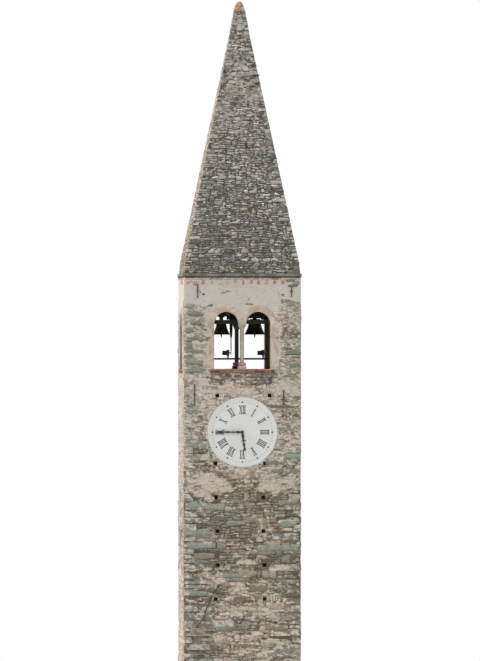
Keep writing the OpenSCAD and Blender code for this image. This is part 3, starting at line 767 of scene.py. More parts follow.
def cut_stone(width, height, draw, breakage):
    """The stone's points at its real width and height, with corners broken back and edges knocked."""
    broken = breakage * draw.beta(1.0, 2.0, 8)[OCTANT]
    worn = np.where(RING, min(WORN_RIM, 0.24 * height), 0.0)
    off_bed = np.where(ON_BED, 0.01 + broken * min(0.40 * width, LONGEST_BREAK), 0)
    off_end = np.where(ON_END, 0.005 + broken * 0.42 * height, 0)
    x = np.sign(STONE_X) * (width / 2 - off_bed - worn) * OFF_MIDDLE
    y = np.sign(STONE_Y) * (height / 2 - off_end - worn) * OFF_MIDDLE
    knock = 0.09 * breakage * min(height, LONGEST_BREAK) * draw.standard_normal((8, 2))[OCTANT]
    x, y = x + knock[:, 0] * OFF_MIDDLE, y + knock[:, 1] * OFF_MIDDLE
    y = y * (1 + breakage * draw.uniform(-0.3, 0.3) * x / (width / 2))
    rise = np.where(FACE_SIDE & OUTER, draw.uniform(0.45, 0.8, len(x)), STONE_RISE)
    rise = rise + np.where(FACE_SIDE & ~OUTER, 0.25 * (draw.random(len(x)) - 0.5), 0)
    return x, y, rise


def rim_dirt_and_shade(draw, dark):
    """Dirt and painted shade on a stone's broken edges, heaviest on its lower half, and a painted highlight
    above and painted shade below on its face, as a factor on its colour.
    """
    lower = ramp(-STONE_Y, -0.3, 0.4)
    # The edges darken with dirt and with painted shade, more on the lower half.
    edge_dirt_and_shade = dark * (0.45 + 0.55 * lower) * draw.uniform(0.6, 1.1)
    # The face gets a painted highlight on its upper half and painted shade on its lower half.
    face_relief = 1 + PAINTED_RELIEF * dark * (0.5 - lower)
    return np.where(OUTER, 1 - np.clip(edge_dirt_and_shade, 0, 0.9), face_relief)


def set_stones(name, side, stones, colours, base, turn, dark, material, slot, draw, lime=None, breakage=1.0):
    """One mesh of stones (u, z, width, height, proud) on a side, whose backs lie base out from it."""
    parts, tones = [], []
    for (u, z, width, height, out), colour, angle in zip(stones, colours, turn):
        a, b, rise = cut_stone(width, height, draw, breakage)
        across = u + a * math.cos(angle) - b * math.sin(angle)
        up = z + a * math.sin(angle) + b * math.cos(angle)
        parts.append((np.stack([across, up, base + rise * (out - base)], axis=1), STONE_FACES))
        tones.append(colour * rim_dirt_and_shade(draw, dark * np.interp(z, *RIM_FADE))[:, None])
    flat, faces = joined(parts)
    u, z, out = flat.T
    cover = mortar_cover(side, u, z) if lime is None else np.full(len(u), lime)
    return new_piece(name, on_side(side, u, np.maximum(z, OVER_GROUND), out), faces, material, slot,
                     tones=np.column_stack([np.concatenate(tones), cover]), smooth=30)


def lay_face(name, side, cells, palette, proud, joint, material, slot, thick, dark, draw):
    """Stones in all cells of a side that are clear of openings, set slabs and thick lime."""
    u, z, width, height = cells.T
    on_roof = bool(z.min() > EAVES_Z)
    inside = ramp(half_at(z) - np.abs(u) - width / 2, 0.0, 0.3)
    u = u + 0.08 * inside * (patches(u, z, 0.8, 0.4, 31) - 0.5)
    z = z + np.where(z < WAVY_TOP, 0.24, 0.16) * inside * (patches(u, z, 0.55, 0.6, 32) - 0.5)
    z = np.maximum(z, height / 2 + 0.01)
    taken = [open_at(side, u + a * width / 2, z + b * height / 2, CLEAR)
             for a in np.linspace(-1, 1, 9) for b in (-1, 0, 1)]
    for su, sz, wide, tall, _ in SLABS if side == "front" else []:
        taken.append(within(u, z, su, sz, 0.5 * wide, 0.5 * tall - 0.1 * height))
    wanted = ~np.any(taken, axis=0) & (mortar_cover(side, u, z) < thick)
    u, z, width, height = u[wanted], z[wanted], width[wanted], height[wanted]
    count = len(u)
    sway = 5.0 if on_roof else np.where(z < WAVY_TOP, 6.0, 2.6)
    turn = np.radians(draw.normal(0, sway, count)) * np.clip(height / width * 2, 0.3, 1.5)
    out = draw.uniform(*proud, count)
    gap = draw.uniform(*joint, count)
    colours = draw_colours(palette, count, draw)
    if on_roof:
        calm = np.interp(z, *ROOF_CALM)
        colours = blend(colours, colours.mean(axis=0), calm)
        cap = draw_colours(CAP_COLOURS, count, draw)
        colours = np.where((z > CAP_FOOT)[:, None], cap, colours)
        near_hip = (u > half_at(z) - HIP_WIDE) & (draw.random(count) < HIP_SHARE) & (side == "front")
        colours = np.where(near_hip[:, None], colours * HIP_DARK, colours)
        tint = np.interp(z, *ROOF_TINT)
    else:
        middle = np.abs(u) < HEART_HALF + 0.3 * draw.standard_normal(count)
        heart = middle & (draw.random(count) < 0.5) & (z < BROWN_TOP)
        colours = np.where(heart[:, None], draw_colours(BROWNS, count, draw), colours)
        tint = np.ones(count)
    colours = colours * (1 + 0.5 * (rough(u, z, 1.5, 0.9, SEED[side] + 3) - 0.5))[:, None]
    colours = colours * (tint * side_shade(side, u, z))[:, None]
    stones = np.column_stack([u, z, width - gap, height - gap, out])
    return set_stones(name, side, stones, colours, BACK, turn, dark, material, slot, draw,
                      breakage=1.5 if on_roof else 1.2)


CORNERS = [(1, -1), (1, 1), (-1, 1), (-1, -1)]
QUOIN_SHADE = {0: 0.82, 3: 0.90}
QUOIN_LIME = 0.36


def lay_quoins(name, quoins, proud, palette, material, slot, draw):
    """The corner blocks, wrapped round the tower's four edges."""
    parts, tones = [], []
    colours = draw_colours(palette, len(quoins), draw, 0.07)
    in_cap = quoins[:, 1] > CAP_FOOT
    colours[in_cap] = draw_colours(CAP_COLOURS, int(in_cap.sum()), draw, 0.07)
    for corner, shade in QUOIN_SHADE.items():
        colours[(quoins[:, 0] == corner) & (quoins[:, 1] < LOW_SHADE_TOP)] *= shade
    for (corner, z, height, this, other), colour in zip(quoins, colours):
        sx, sy = CORNERS[int(corner)]
        along_x, along_y = (this, other) if int(corner) in (0, 2) else (other, this)
        shape, shape_faces = QUOINS[draw.integers(0, len(QUOINS))]
        out = draw.uniform(*proud)
        level = np.maximum(z + shape[:, 2] * (height - draw.uniform(0.012, 0.03)), OVER_GROUND)
        x = half_at(level) + out - (0.5 - shape[:, 0]) * (along_x + out)
        y = half_at(level) + out - (0.5 - shape[:, 1]) * (along_y + out)
        mirrored = sx * sy < 0
        parts.append((np.stack([sx * x, sy * y, level], axis=1),
                      [face[::-1] if mirrored else face for face in shape_faces]))
        tones.append(np.tile([*colour, QUOIN_LIME], (len(shape), 1)))
    return new_piece(name, *joined(parts), material, slot, tones=np.concatenate(tones), smooth=30)


for side in SIDES:
    lay_face("rubble_" + side, side, WALL_CELLS[side], WALL_COLOURS, (0.012, 0.040), (0.002, 0.016),
             STONE, "rubble_stone", 0.76, 0.66, np.random.default_rng(SEED[side] + 5))
    roof_palette = SUNNY_ROOF if side == "left" else ROOF_COLOURS
    lay_face("roof_stones_" + side, side, ROOF_CELLS[side], roof_palette, (0.006, 0.032), (0.003, 0.018),
             SPIRE_STONE, "spire_stone", 2.0, 0.75, np.random.default_rng(SEED[side] + 6))
    print("stones laid on the", side)
set_stones("long_slabs", "front", [(*slab[:4], SLAB_OUT) for slab in SLABS],
           [linear(slab[4]) for slab in SLABS], BACK, np.zeros(len(SLABS)), 0.75, STONE, "rubble_stone",
           np.random.default_rng(23), 0.15)
below_plaster = WALL_QUOINS[WALL_QUOINS[:, 1] < PLASTER_FOOT]
lay_quoins("corner_stones", below_plaster, (0.008, 0.028), QUOIN_COLOURS, STONE, "rubble_stone",
           np.random.default_rng(21))
lay_quoins("hip_stones", ROOF_QUOINS, (0.004, 0.02), ROOF_COLOURS, SPIRE_STONE, "spire_stone",
           np.random.default_rng(22))

# %% [markdown]
# ## Spread the mortar
# Mortar fills the joints and creeps over the stones. It is a sheet of small squares on each side, pushed
# out where the lime lies thick and left low in open joints, with a flat back so that it is closed. The
# sheet's lines are drawn to the edges of the openings, and squares inside them are left out.

# %% Build the mortar sheets
# The lime's colours at some heights, and the fresh lime's where it is thick.
LIME_LADDER = [0, 5.4, 7.5, 10.2, 13.3, 14.2, 17.5]
LIME_CREAMS = [(172, 160, 146), (172, 160, 146), (172, 159, 144), (198, 188, 174), (200, 190, 177),
               (192, 183, 171), (177, 172, 165)]
FRESH_LADDER = [9.8, 10.6]
FRESH_LIME = [(187, 174, 160), (178, 172, 165)]
PINK, ROSE, CLOCK_LIME = (186, 164, 148), (200, 170, 154), (183, 182, 180)
ROOF_LIME, CAP_LIME = (150, 145, 136), (160, 126, 100)
BAND_LAP = 0.06
SHEET_BACK = -0.004
MORTAR_LEAST, MORTAR_LOW, MORTAR_SWELL, PLASTER_OUT = 0.002, 0.003, 0.034, 0.016
UNDER_CLOCK, UNDER_ANCHOR = 0.012, 0.008
FINE_STEP, COARSE_STEP = 0.055, 0.09


def lines_between(low, high, step, stops):
    """Grid lines about a step apart that also pass through every stop."""
    marks = sorted({low, high, *[s for s in stops if low < s < high]})
    lines = [low]
    for a, b in zip(marks[:-1], marks[1:]):
        if b - a > 1e-6:
            lines += list(np.linspace(a, b, max(1, int(round((b - a) / step))) + 1)[1:])
    return np.array(lines)


def colour_ladder(z, levels, colours):
    """A colour at each height, from colours given at a few levels."""
    rungs = np.array([linear(colour) for colour in colours])
    return np.stack([np.interp(z, levels, rungs[:, k]) for k in range(3)], axis=-1)


def lime_colours(side, u, z, cover):
    """The lime's colour, by height on the tower, fresher where it hides the stones."""
    thick = ramp(cover, 0.68, 0.84)
    lime = colour_ladder(z, LIME_LADDER, LIME_CREAMS)
    lime = blend(lime, colour_ladder(z, FRESH_LADDER, FRESH_LIME), thick)
    if side == "left":
        lime = lime * np.interp(z, [11.0, 14.5], [0.76, 1.0])[..., None]
    lime = blend(lime, linear(PINK), ramp(rough(u, z, 1.6, 1.0, 77), 0.52, 0.75) * 0.5 * (1 - thick))
    if side == "front":
        rosy = ramp(z, 12.9, 13.05) * ramp(z, 13.45, 13.3) * ramp(np.abs(u), 1.4, 1.0)
        lime = blend(lime, linear(ROSE), 0.5 * rosy)
        lime = blend(lime, linear(CLOCK_LIME), ramp(off_clock(u, z) - CLOCK_R, 0.14, 0.03))
    high_lime = linear(ROOF_LIME) * np.interp(z, [EAVES_Z, EAVES_Z + 7.0], [0.86, 1.46])[..., None]
    high_lime = np.where((z > CAP_FOOT)[..., None], linear(CAP_LIME), high_lime)
    return np.where((z > EAVES_Z)[..., None], high_lime, lime)


def mortar_grid(side, z_low, z_high, step):
    """Crossing points (u, z) of the sheet's lines, and each one's share of the half-width."""
    stops_u, stops_z = [], []
    if z_high <= EAVES_Z:
        stops_z = [SILL_Z, SILL_Z - SILL_THICK, SPRING_Z]
        stops_z += [z + s * r for _, z, r in HOLES[side] for s in (-1, 1)]
        stops_u = [u + s * r for u, _, r in HOLES[side] for s in (-1, 1)]
        stops_u += [s * (ARCH_U + t * ARCH_R) for s in (-1, 1) for t in (-1, 1)]
        if side == "back":
            stops_u += [-DOOR_U - LINTEL_REST, -DOOR_U, DOOR_U, DOOR_U + LINTEL_REST]
            stops_z += [LINTEL_LO.z, LINTEL_HI.z]
    width = float(half_at(z_low + 0.02))
    share = lines_between(-width, width, step, stops_u) / width
    z, share = np.meshgrid(lines_between(z_low, z_high, step, stops_z), share, indexing="ij")
    return share * half_at(np.minimum(z + 1e-4, z_high)), z, share


def mortar_height(side, u, z, share, cover):
    """How far the mortar stands out from the wall at each point."""
    fine = patches(u, z, 0.16, 0.075, SEED[side] + 9)
    tall = MORTAR_LOW + MORTAR_SWELL * ramp(np.clip(cover + 0.55 * (fine - 0.5), 0, 1), 0.15, 0.95)
    smooth_wall = ramp(cover, 0.75, 1.0)
    tall = tall * (1 - smooth_wall) + PLASTER_OUT * smooth_wall
    tall = MORTAR_LEAST + tall * (0.35 + 0.65 * ramp(1 - np.abs(share), 0.0, 0.02))
    if side == "front":
        tall = np.where(off_clock(u, z) < CLOCK_R + 0.12, np.minimum(tall, UNDER_CLOCK), tall)
    for au, az, high in ANCHORS if side in ("front", "back") else []:
        tall = np.where(within(u, z, au, az, 0.11, high / 2 + 0.1), np.minimum(tall, UNDER_ANCHOR), tall)
    return tall


def mortar_squares(side, u, z):
    """True for the squares of the grid that are mortar, not an opening or a surround."""
    u, z = (u[:-1, :-1] + u[1:, 1:]) / 2, (z[:-1, :-1] + z[1:, 1:]) / 2
    filled = ~open_at(side, u, z, 0.0, trim=False)
    filled &= ~((off_arch(u, z) < ARCH_R + BAND_LAP) & (z > SILL_Z) & (np.abs(u) > ARCH_U - ARCH_R))
    if side == "back":
        filled &= ~((np.abs(u) < DOOR_U + LINTEL_REST) & (z > LINTEL_LO.z) & (z < LINTEL_HI.z))
    return filled


def sheet_faces(filled):
    """Faces of a closed sheet with a front, a back and a rim round every gap."""
    rows, cols = filled.shape[0] + 1, filled.shape[1] + 1
    index = np.arange(rows * cols).reshape(rows, cols)
    behind = rows * cols
    full = np.pad(filled, 1)
    faces = []
    for i, j in np.argwhere(filled):
        a, b, c, d = index[i, j], index[i, j + 1], index[i + 1, j + 1], index[i + 1, j]
        faces.append((a, b, c, d))
        faces.append((d + behind, c + behind, b + behind, a + behind))
        for di, dj, p, q in ((0, 1, b, a), (2, 1, d, c), (1, 0, a, d), (1, 2, c, b)):
            if not full[i + di, j + dj]:
                faces.append((p, q, q + behind, p + behind))
    return faces


def spread_mortar(name, side, z_low, z_high, step, material, slot):
    """A closed sheet of mortar on a side, between two heights."""
    u, z, share = mortar_grid(side, z_low, z_high, step)
    cover = mortar_cover(side, u, z)
    tall = mortar_height(side, u, z, share, cover)
    faces = sheet_faces(mortar_squares(side, u, z))
    points = np.concatenate([on_side(side, u, z, out).reshape(-1, 3) for out in (tall, SHEET_BACK)])
    lime = lime_colours(side, u, z, cover) * side_shade(side, u, z)[..., None]
    tones = np.tile(np.dstack([lime, cover]).reshape(-1, 4), (2, 1))
    used = np.zeros(len(points), bool)
    used[np.concatenate(faces)] = True
    order = np.cumsum(used) - 1
    faces = [tuple(int(order[v]) for v in face) for face in faces]
    return new_piece(name, points[used], faces, material, slot, tones=tones[used], smooth=60)


for side in SIDES:
    step = FINE_STEP if side == "front" else COARSE_STEP
    spread_mortar("mortar_" + side, side, 0.0, EAVES_Z, step, MORTAR, "belfry_plaster")
    spread_mortar("roof_mortar_" + side, side, SPIRE_Z, CAP_Z - 0.3, step, SPIRE_MORTAR, "spire_stone")
    print("mortar spread on the", side)

# %% [markdown]
# ## Finishes for the solids
# The solids of the frame keep their shapes and get finishes of their own: plaster in the window reveals,
# slate at the eaves, brick and stone under the columns, old timber and iron in the belfry. Each is a base
# colour broken up by noise at the scale of the real surface, with roughness and relief to match.

# %% Masonry and wood
def shade_inside(f, base, reach):
    """Painted shade on the surfaces inside a reach from the tower's middle, where the belfry is dark."""
    x, y = (f.add("ShaderNodeSeparateXYZ", {}, {"Vector": f.place}, axis) for axis in "XY")
    out = x.maths("MAXIMUM", x.maths("ABSOLUTE", x), y.maths("ABSOLUTE", y))
    return f.mix(out.between(reach + 0.01, reach - 0.02) * 0.85, base, (50, 43, 40))


def plain_mortar(name, light, dark, scale=2.5, inner_shade=0.0, worn=None):
    """Lime mortar in two tones, with scattered patches of a third where it has worn."""
    f = Finish(name, 0.95)
    blotches = f.noise(scale, 5.0, 0.6)
    grit = f.noise(60.0, 3.0, 0.7)
    base = f.mix(blotches.between(0.35, 0.68), dark, light)
    if worn:
        base = f.mix(f.noise(2.8, 5.0, 0.65).between(0.46, 0.56), base, worn)
    base = f.mix(f.noise(7.0, 5.0, 0.7).between(0.54, 0.64) * 0.30, base, (140, 126, 110))
    base = f.mix(grit.between(0.5, 0.75) * 0.3, base, (116, 106, 92))
    f.colour(shade_inside(f, base, inner_shade) if inner_shade else base)
    return f.bump(grit * 0.5 + blotches * 1.5, 0.015, 0.6)


def slate_finish(name, light, dark, inner_shade=0.0):
    """Stone split in thin layers, in two tones."""
    f = Finish(name, 0.85)
    layers = f.noise(6.0, 4.0, 0.6, (1.0, 1.0, 12.0))
    base = f.mix(f.noise(3.0, 3.0).between(0.35, 0.65), dark, light)
    base = f.mix(layers.between(0.5, 0.7) * 0.5, base, (72, 70, 64))
    f.colour(shade_inside(f, base, inner_shade) if inner_shade else base)
    f.roughness(0.95 - layers * 0.3)
    return f.bump(layers + f.noise(40.0, 3.0) * 0.4, 0.01, 0.8)


def brick_finish(name, light, dark):
    """Fired clay in two tones, with a film of lime and dark pits."""
    f = Finish(name, 0.9)
    fired = f.noise(9.0, 3.0, 0.6)
    pits = f.noise(80.0, 2.0, 0.7)
    base = f.mix(fired.between(0.35, 0.68), dark, light)
    base = f.mix(f.noise(4.0, 3.0).between(0.58, 0.70) * 0.5, base, (176, 160, 140))
    f.colour(f.mix(pits.between(0.55, 0.75) * 0.4, base, (86, 66, 52)))
    return f.bump(pits * 0.6 + fired * 0.6, 0.008, 0.6)


def timber_finish(name, light, dark, along):
    """Old timber whose grain runs along one axis, 0 for x, 1 for y and 2 for z."""
    f = Finish(name, 0.8)
    squeeze = [14.0, 14.0, 14.0]
    squeeze[along] = 0.8
    grain = f.noise(3.0, 6.0, 0.65, squeeze, 1.5)
    base = f.mix(grain.between(0.3, 0.7), dark, light)
    f.colour(f.mix(f.noise(1.4, 3.0).between(0.5, 0.75) * 0.4, base, (60, 54, 48)))
    f.roughness(0.9 - grain * 0.25)
    return f.bump(grain, 0.006, 0.7)


# Inside these reaches the window plaster, columns and plinths get painted shade, as the belfry is dark.
INNER_FACE = 1.65
PIER_MIDDLE = (HALF + INNER_FACE) / 2
PLASTER_IN = plain_mortar("window_plaster", (178, 163, 146), (160, 146, 128), 2.5, INNER_FACE + 0.01)
WALL_CORE = plain_mortar("wall_core", (150, 140, 122), (104, 96, 82), 5.0)
ROOF_CORE = plain_mortar("spire_core", (118, 112, 102), (74, 70, 64), 6.0)
CAP_CORE = plain_mortar("cap_mortar", (176, 134, 104), (150, 116, 92), 6.0)
EAVES_SLATE = slate_finish("eaves_slate", (124, 119, 110), (94, 90, 82))
COLUMN = slate_finish("column_stone", (178, 171, 160), (150, 143, 130), PIER_MIDDLE)
PLINTH = slate_finish("base_stone", (204, 194, 178), (180, 170, 154), PIER_MIDDLE)
BRICK = brick_finish("base_brick", (206, 160, 138), (182, 134, 112))
SILL = brick_finish("sill_brick", (150, 104, 82), (104, 78, 62))
# The bell frame's timber is near black: old wood, darkened further as painted shade of the dark belfry.
BEAM_Y = timber_finish("timber_bearers", (62, 53, 46), (32, 28, 26), 1)
BEAM_X = timber_finish("timber_beams", (62, 53, 46), (32, 28, 26), 0)
BOARDS = timber_finish("floor_boards", (122, 104, 84), (74, 62, 50), 1)
DOOR = timber_finish("door_wood", (104, 78, 54), (62, 44, 30), 2)
FLOOR_SLABS = slate_finish("floor_stone", (148, 144, 134), (104, 100, 92))

# %% Metal and paint
def metal_finish(name, light, dark, roughness, metallic, scale=8.0):
    """Metal or paint in two tones, duller in patches."""
    f = Finish(name, roughness, metallic)
    patina = f.noise(scale, 4.0, 0.6)
    f.colour(f.mix(patina.between(0.35, 0.7), dark, light))
    f.roughness(patina * 0.3 + (roughness - 0.15))
    return f.bump(f.noise(scale * 10, 2.0) * 0.5 + patina * 0.5, 0.002, 0.5)


BRONZE = metal_finish("bell_bronze", (92, 88, 62), (40, 40, 32), 0.5, 0.75, 5.0)
IRON = metal_finish("wrought_iron", (74, 66, 58), (38, 36, 34), 0.7, 0.6)
MACHINE = metal_finish("machine_steel", (70, 72, 74), (40, 41, 43), 0.55, 0.6)
RUST = metal_finish("rusty_iron", (112, 100, 86), (84, 72, 60), 0.85, 0.2)
DIAL_WHITE = metal_finish("dial_enamel", (204, 204, 201), (197, 197, 194), 0.45, 0.0, 1.2)
DIAL_EDGE = metal_finish("dial_border", (207, 207, 204), (194, 194, 190), 0.5, 0.0, 2.0)
HAND_PAINT = metal_finish("hand_paint", (46, 52, 62), (30, 34, 42), 0.5, 0.0, 6.0)
NUMERAL_PAINT = metal_finish("numeral_paint", (96, 100, 96), (70, 74, 72), 0.6, 0.0, 12.0)

SOLID_FINISHES = {
    WALL_CORE: [side + "_wall" for side in SIDES],
    PLASTER_IN: ["belfry_" + side for side in SIDES],
    ROOF_CORE: ["spire_" + side for side in SIDES], CAP_CORE: ["spire_tip"],
    EAVES_SLATE: ["eaves_" + side for side in SIDES],
    COLUMN: ["column_shafts", "column_capitals"], PLINTH: ["column_plinths", "door_lintel"],
    BRICK: ["column_bases"], SILL: ["window_sills"],
    BEAM_X: ["cross_beams", "headstock_left", "headstock_right"], BEAM_Y: ["bearers", "floor_joists"],
    BOARDS: ["belfry_floor"], DOOR: ["door_leaf", "door_frame"], FLOOR_SLABS: ["ground_floor"],
    BRONZE: ["bell_left", "bell_right"],
    IRON: ["clapper_left", "clapper_right", "wheel_left", "wheel_right", "bearings", "drive_chains"],
    RUST: ["wall_anchors"],
    MACHINE: ["motor_rail", "drive_motors"], DIAL_WHITE: ["clock_dial"], DIAL_EDGE: ["clock_rim"],
    HAND_PAINT: ["minute_hand", "hour_hand"],
}
for finish, names in SOLID_FINISHES.items():
    for name in names:
        nodes[name].data.materials.clear()
        nodes[name].data.materials.append(finish)
print("solids finished:", sum(len(names) for names in SOLID_FINISHES.values()))

# %% [markdown]
# ## The clock's numerals and minute dots
# The figures on such a dial are thin plates painted grey and fixed to the enamel. One stroke is modelled
# from a cube whose ends flare into serifs, and one dot from a low cylinder with a rounded edge. The
# Roman numerals are strokes set upright or slanting, with their feet towards the centre.

# %% Letter the dial
FIGURES = ["XII", "I", "II", "III", "IIII", "V", "VI", "VII", "VIII", "IX", "X", "XI"]
LETTER_W = {"I": 0.062, "V": 0.135, "X": 0.135}
FIGURE_LOW, FIGURE_HIGH = 0.70, 1.03
DIAL_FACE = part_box("clock_dial")[0].y
THIN, THICK, PLATE = 0.020, 0.036, 0.004
SERIF_TALL, SERIF_INSET, SERIF_FLARE = 0.014, 0.008, 1.35
DOT_RING, HOUR_DOT, MINUTE_DOT = 1.155, 0.074, 0.030


def shape_stroke():
    """A stroke one unit long along Y, lying on the dial, with flared ends."""
    bpy.ops.mesh.primitive_cube_add(size=1.0, location=(0, 0, 0))
    with editing():
        bpy.ops.mesh.subdivide(number_cuts=3)
    with editing(lambda face: abs(face.center.y) > 0.49):
        bpy.ops.transform.resize(value=(SERIF_FLARE, 1.0, 1.0))
    return arrays_of_active()


def shape_dot():
    """A round dot one unit wide and tall, with a rounded upper edge."""
    bpy.ops.mesh.primitive_cylinder_add(vertices=12, radius=0.5, depth=1.0, location=(0, 0, 0))
    with editing(looks_up):
        bpy.ops.mesh.bevel(offset=0.12, segments=2, affect="EDGES")
    return arrays_of_active()


def strokes_of(figure):
    """Strokes (x at the foot, x at the head, thickness) of a numeral centred on 0."""
    width = sum(LETTER_W[letter] for letter in figure)
    x = -width / 2
    strokes = []
    for letter in figure:
        w = LETTER_W[letter]
        if letter == "I":
            strokes.append((x + w / 2, x + w / 2, THICK))
        if letter == "V":
            strokes += [(x + w / 2, x + 0.2 * w, THICK), (x + w / 2, x + 0.85 * w, THIN)]
        if letter == "X":
            strokes += [(x + 0.85 * w, x + 0.2 * w, THICK), (x + 0.15 * w, x + 0.85 * w, THIN)]
        x += w
    return strokes, width


def plate(shape, centre_u, centre_v, wide, tall, lean, turn):
    """A flat shape set on the dial: u to the right, v up, turned clockwise about the centre."""
    points, faces = shape
    u = centre_u + points[:, 0] * wide + points[:, 1] * lean
    v = centre_v + points[:, 1] * tall
    x = u * math.cos(turn) + v * math.sin(turn)
    z = -u * math.sin(turn) + v * math.cos(turn)
    return np.stack([x, DIAL_FACE - PLATE * (points[:, 2] + 0.3), CLOCK_Z + z], axis=1), faces


def letter_dial():
    """All numerals, their serif bars and the dots of the minutes, as one piece."""
    stroke, dot = shape_stroke(), shape_dot()
    middle, tall = (FIGURE_LOW + FIGURE_HIGH) / 2, FIGURE_HIGH - FIGURE_LOW
    parts = []
    for hour, figure in enumerate(FIGURES):
        turn = math.radians(30 * hour)
        strokes, width = strokes_of(figure)
        for foot, head, thick in strokes:
            parts.append(plate(stroke, (foot + head) / 2, middle, thick, tall, head - foot, turn))
        for edge in (FIGURE_LOW + SERIF_INSET, FIGURE_HIGH - SERIF_INSET):
            parts.append(plate(stroke, 0.0, edge, width, SERIF_TALL, 0.0, turn))
    for minute in range(60):
        size = MINUTE_DOT if minute % 5 else HOUR_DOT
        parts.append(plate(dot, 0.0, DOT_RING, size, size, 0.0, math.radians(6 * minute)))
    return new_piece("dial_numerals", *joined(parts), NUMERAL_PAINT, "hand_black", smooth=30)


letter_dial()
print("numerals:", " ".join(FIGURES))

# %% [markdown]
# ## Window surrounds
# Each pair of windows has a smooth band of peach-coloured lime round it, about a foot wide at the jambs
# and a little less over the arches. It is one slab with the openings cut through it; its outer edge
# follows the arches, and its front edges are softened as a trowel leaves them.

# %% Make the surrounds
PEACH = plain_mortar("peach_lime", (180, 164, 149), (160, 142, 126), 3.0, worn=(182, 171, 159))
BAND_JAMB, BAND_ARCH, BAND_OUT, BAND_SUNK = 0.32, 0.25, 0.020, 0.01
BAND_NEAR = -HALF + BAND_SUNK
CUT_DEEP, CUT_CLEAR = 1.0, 0.004


def arch_block(name, x, radius, low, depth, near):
    """An upright block with a round top, centred on x, between two depths."""
    bpy.ops.mesh.primitive_cylinder_add(vertices=56, radius=radius, depth=depth,
                                        location=(0, near - depth / 2, SPRING_Z),
                                        rotation=(math.radians(90), 0, 0))
    block = bpy.context.object
    block.name = name
    bpy.ops.object.transform_apply(location=True, rotation=True, scale=True)
    with editing():
        bpy.ops.mesh.bisect(plane_co=(0, 0, SPRING_Z), plane_no=(0, 0, 1), clear_inner=True, use_fill=True)
    with editing(lambda face: face.normal.z < -0.9):
        bpy.ops.mesh.extrude_region_move(TRANSFORM_OT_translate={"value": (0, 0, low - SPRING_Z)})
    block.location.x = x
    bpy.ops.object.transform_apply(location=True)
    return block


def box_block(wide, deep, low, high, y):
    """An upright box centred on x = 0."""
    bpy.ops.mesh.primitive_cube_add(size=1.0, location=(0, y, (low + high) / 2),
                                    scale=(wide, deep, high - low))
    return bpy.context.object


def modify(piece, name, kind, **settings):
    """Adds a modifier to a piece and applies it."""
    modifier = piece.modifiers.new(name, kind)
    for setting, value in settings.items():
        setattr(modifier, setting, value)
    activate(piece)
    bpy.ops.object.modifier_apply(modifier=name)


def combine(target, tool, operation):
    """Joins or cuts a piece with another, and removes the other."""
    modify(target, operation, "BOOLEAN", object=tool, operation=operation, solver="EXACT")
    bpy.data.objects.remove(tool)


def make_surround(name, turn):
    """The band round one side's windows: two arches and their jambs, less the openings."""
    outer, deep = ARCH_R + BAND_ARCH, BAND_OUT + BAND_SUNK
    band = arch_block("band", -ARCH_U, outer, SILL_Z + BAND_SUNK, deep, BAND_NEAR)
    combine(band, arch_block("half", ARCH_U, outer, SILL_Z + BAND_SUNK, deep, BAND_NEAR), "UNION")
    combine(band, box_block(2 * (ARCH_U + ARCH_R + BAND_JAMB), deep, SILL_Z + 0.01, SPRING_Z + 0.19,
                            BAND_NEAR - deep / 2), "UNION")
    for x in (-ARCH_U, ARCH_U):
        cutter = arch_block("cut", x, ARCH_R + CUT_CLEAR, SILL_Z - 0.3, CUT_DEEP, BAND_NEAR + CUT_DEEP / 2)
        combine(band, cutter, "DIFFERENCE")
    combine(band, box_block(2 * ARCH_U, CUT_DEEP, SILL_Z - 0.2, SPRING_Z, BAND_NEAR), "DIFFERENCE")
    modify(band, "edge", "BEVEL", width=0.008, segments=2, limit_method="ANGLE")
    band.rotation_euler.z = math.radians(turn)
    return finish_piece(name, PEACH)


for k, side in enumerate(SIDES):
    make_surround("surround_" + side, 90 * k)
print("surrounds made, standing out", BAND_OUT)

# %% [markdown]
# ## Bricks, tiles and slates at the eaves, the sills and the clock
# Under the eaves slabs run two courses of small flat stones, the upper one dark as the slabs' painted shadow,
# then bricks set on end with lime scalloped between them. The sills are thin tiles on a bed of dark brick,
# darker still as painted shade under the tiles, and two bricks are wedged under the clock.
# Each is a row of the same broken stone shape, cut to the size of a brick or a tile.

# %% Rows of small pieces
BRICK_REDS = [(190, 136, 114), (180, 128, 108), (196, 152, 132), (176, 134, 116)]
FADED_REDS = [(190, 170, 155), (184, 160, 146), (192, 176, 162)]
SLATES = [(152, 148, 138), (134, 130, 120), (164, 160, 150), (118, 112, 102), (146, 134, 120)]
# Colours of the slabs' lower edge row, darkened as painted shade, and of the course under the slabs, dark as
# their painted shadow.
SHADED_SLATES = [(128, 122, 112), (112, 106, 96), (140, 134, 124), (98, 92, 80)]
SHADOW_COURSE = [(60, 56, 48), (50, 46, 40), (72, 66, 56), (84, 76, 64)]
LOW_COURSE = [(182, 166, 150), (160, 148, 132), (190, 158, 142), (128, 116, 102), (172, 160, 146)]
SILL_TOPS = [(188, 126, 102), (176, 118, 96), (198, 146, 122), (154, 116, 98)]
# The bed under the sill tiles is dark brick, coloured darker still as painted shade under the tiles.
SHADED_SILL_BEDS = [(98, 80, 66), (80, 68, 56), (118, 98, 80), (70, 62, 50), (134, 112, 94)]
EDGE_OUT = 0.05
EDGE = HALF + EDGE_OUT
EDGE_BACK = EDGE_OUT - 0.02
SILL_BACK = 0.02
UNEVEN = 0.006
ROW_GAP = 0.012

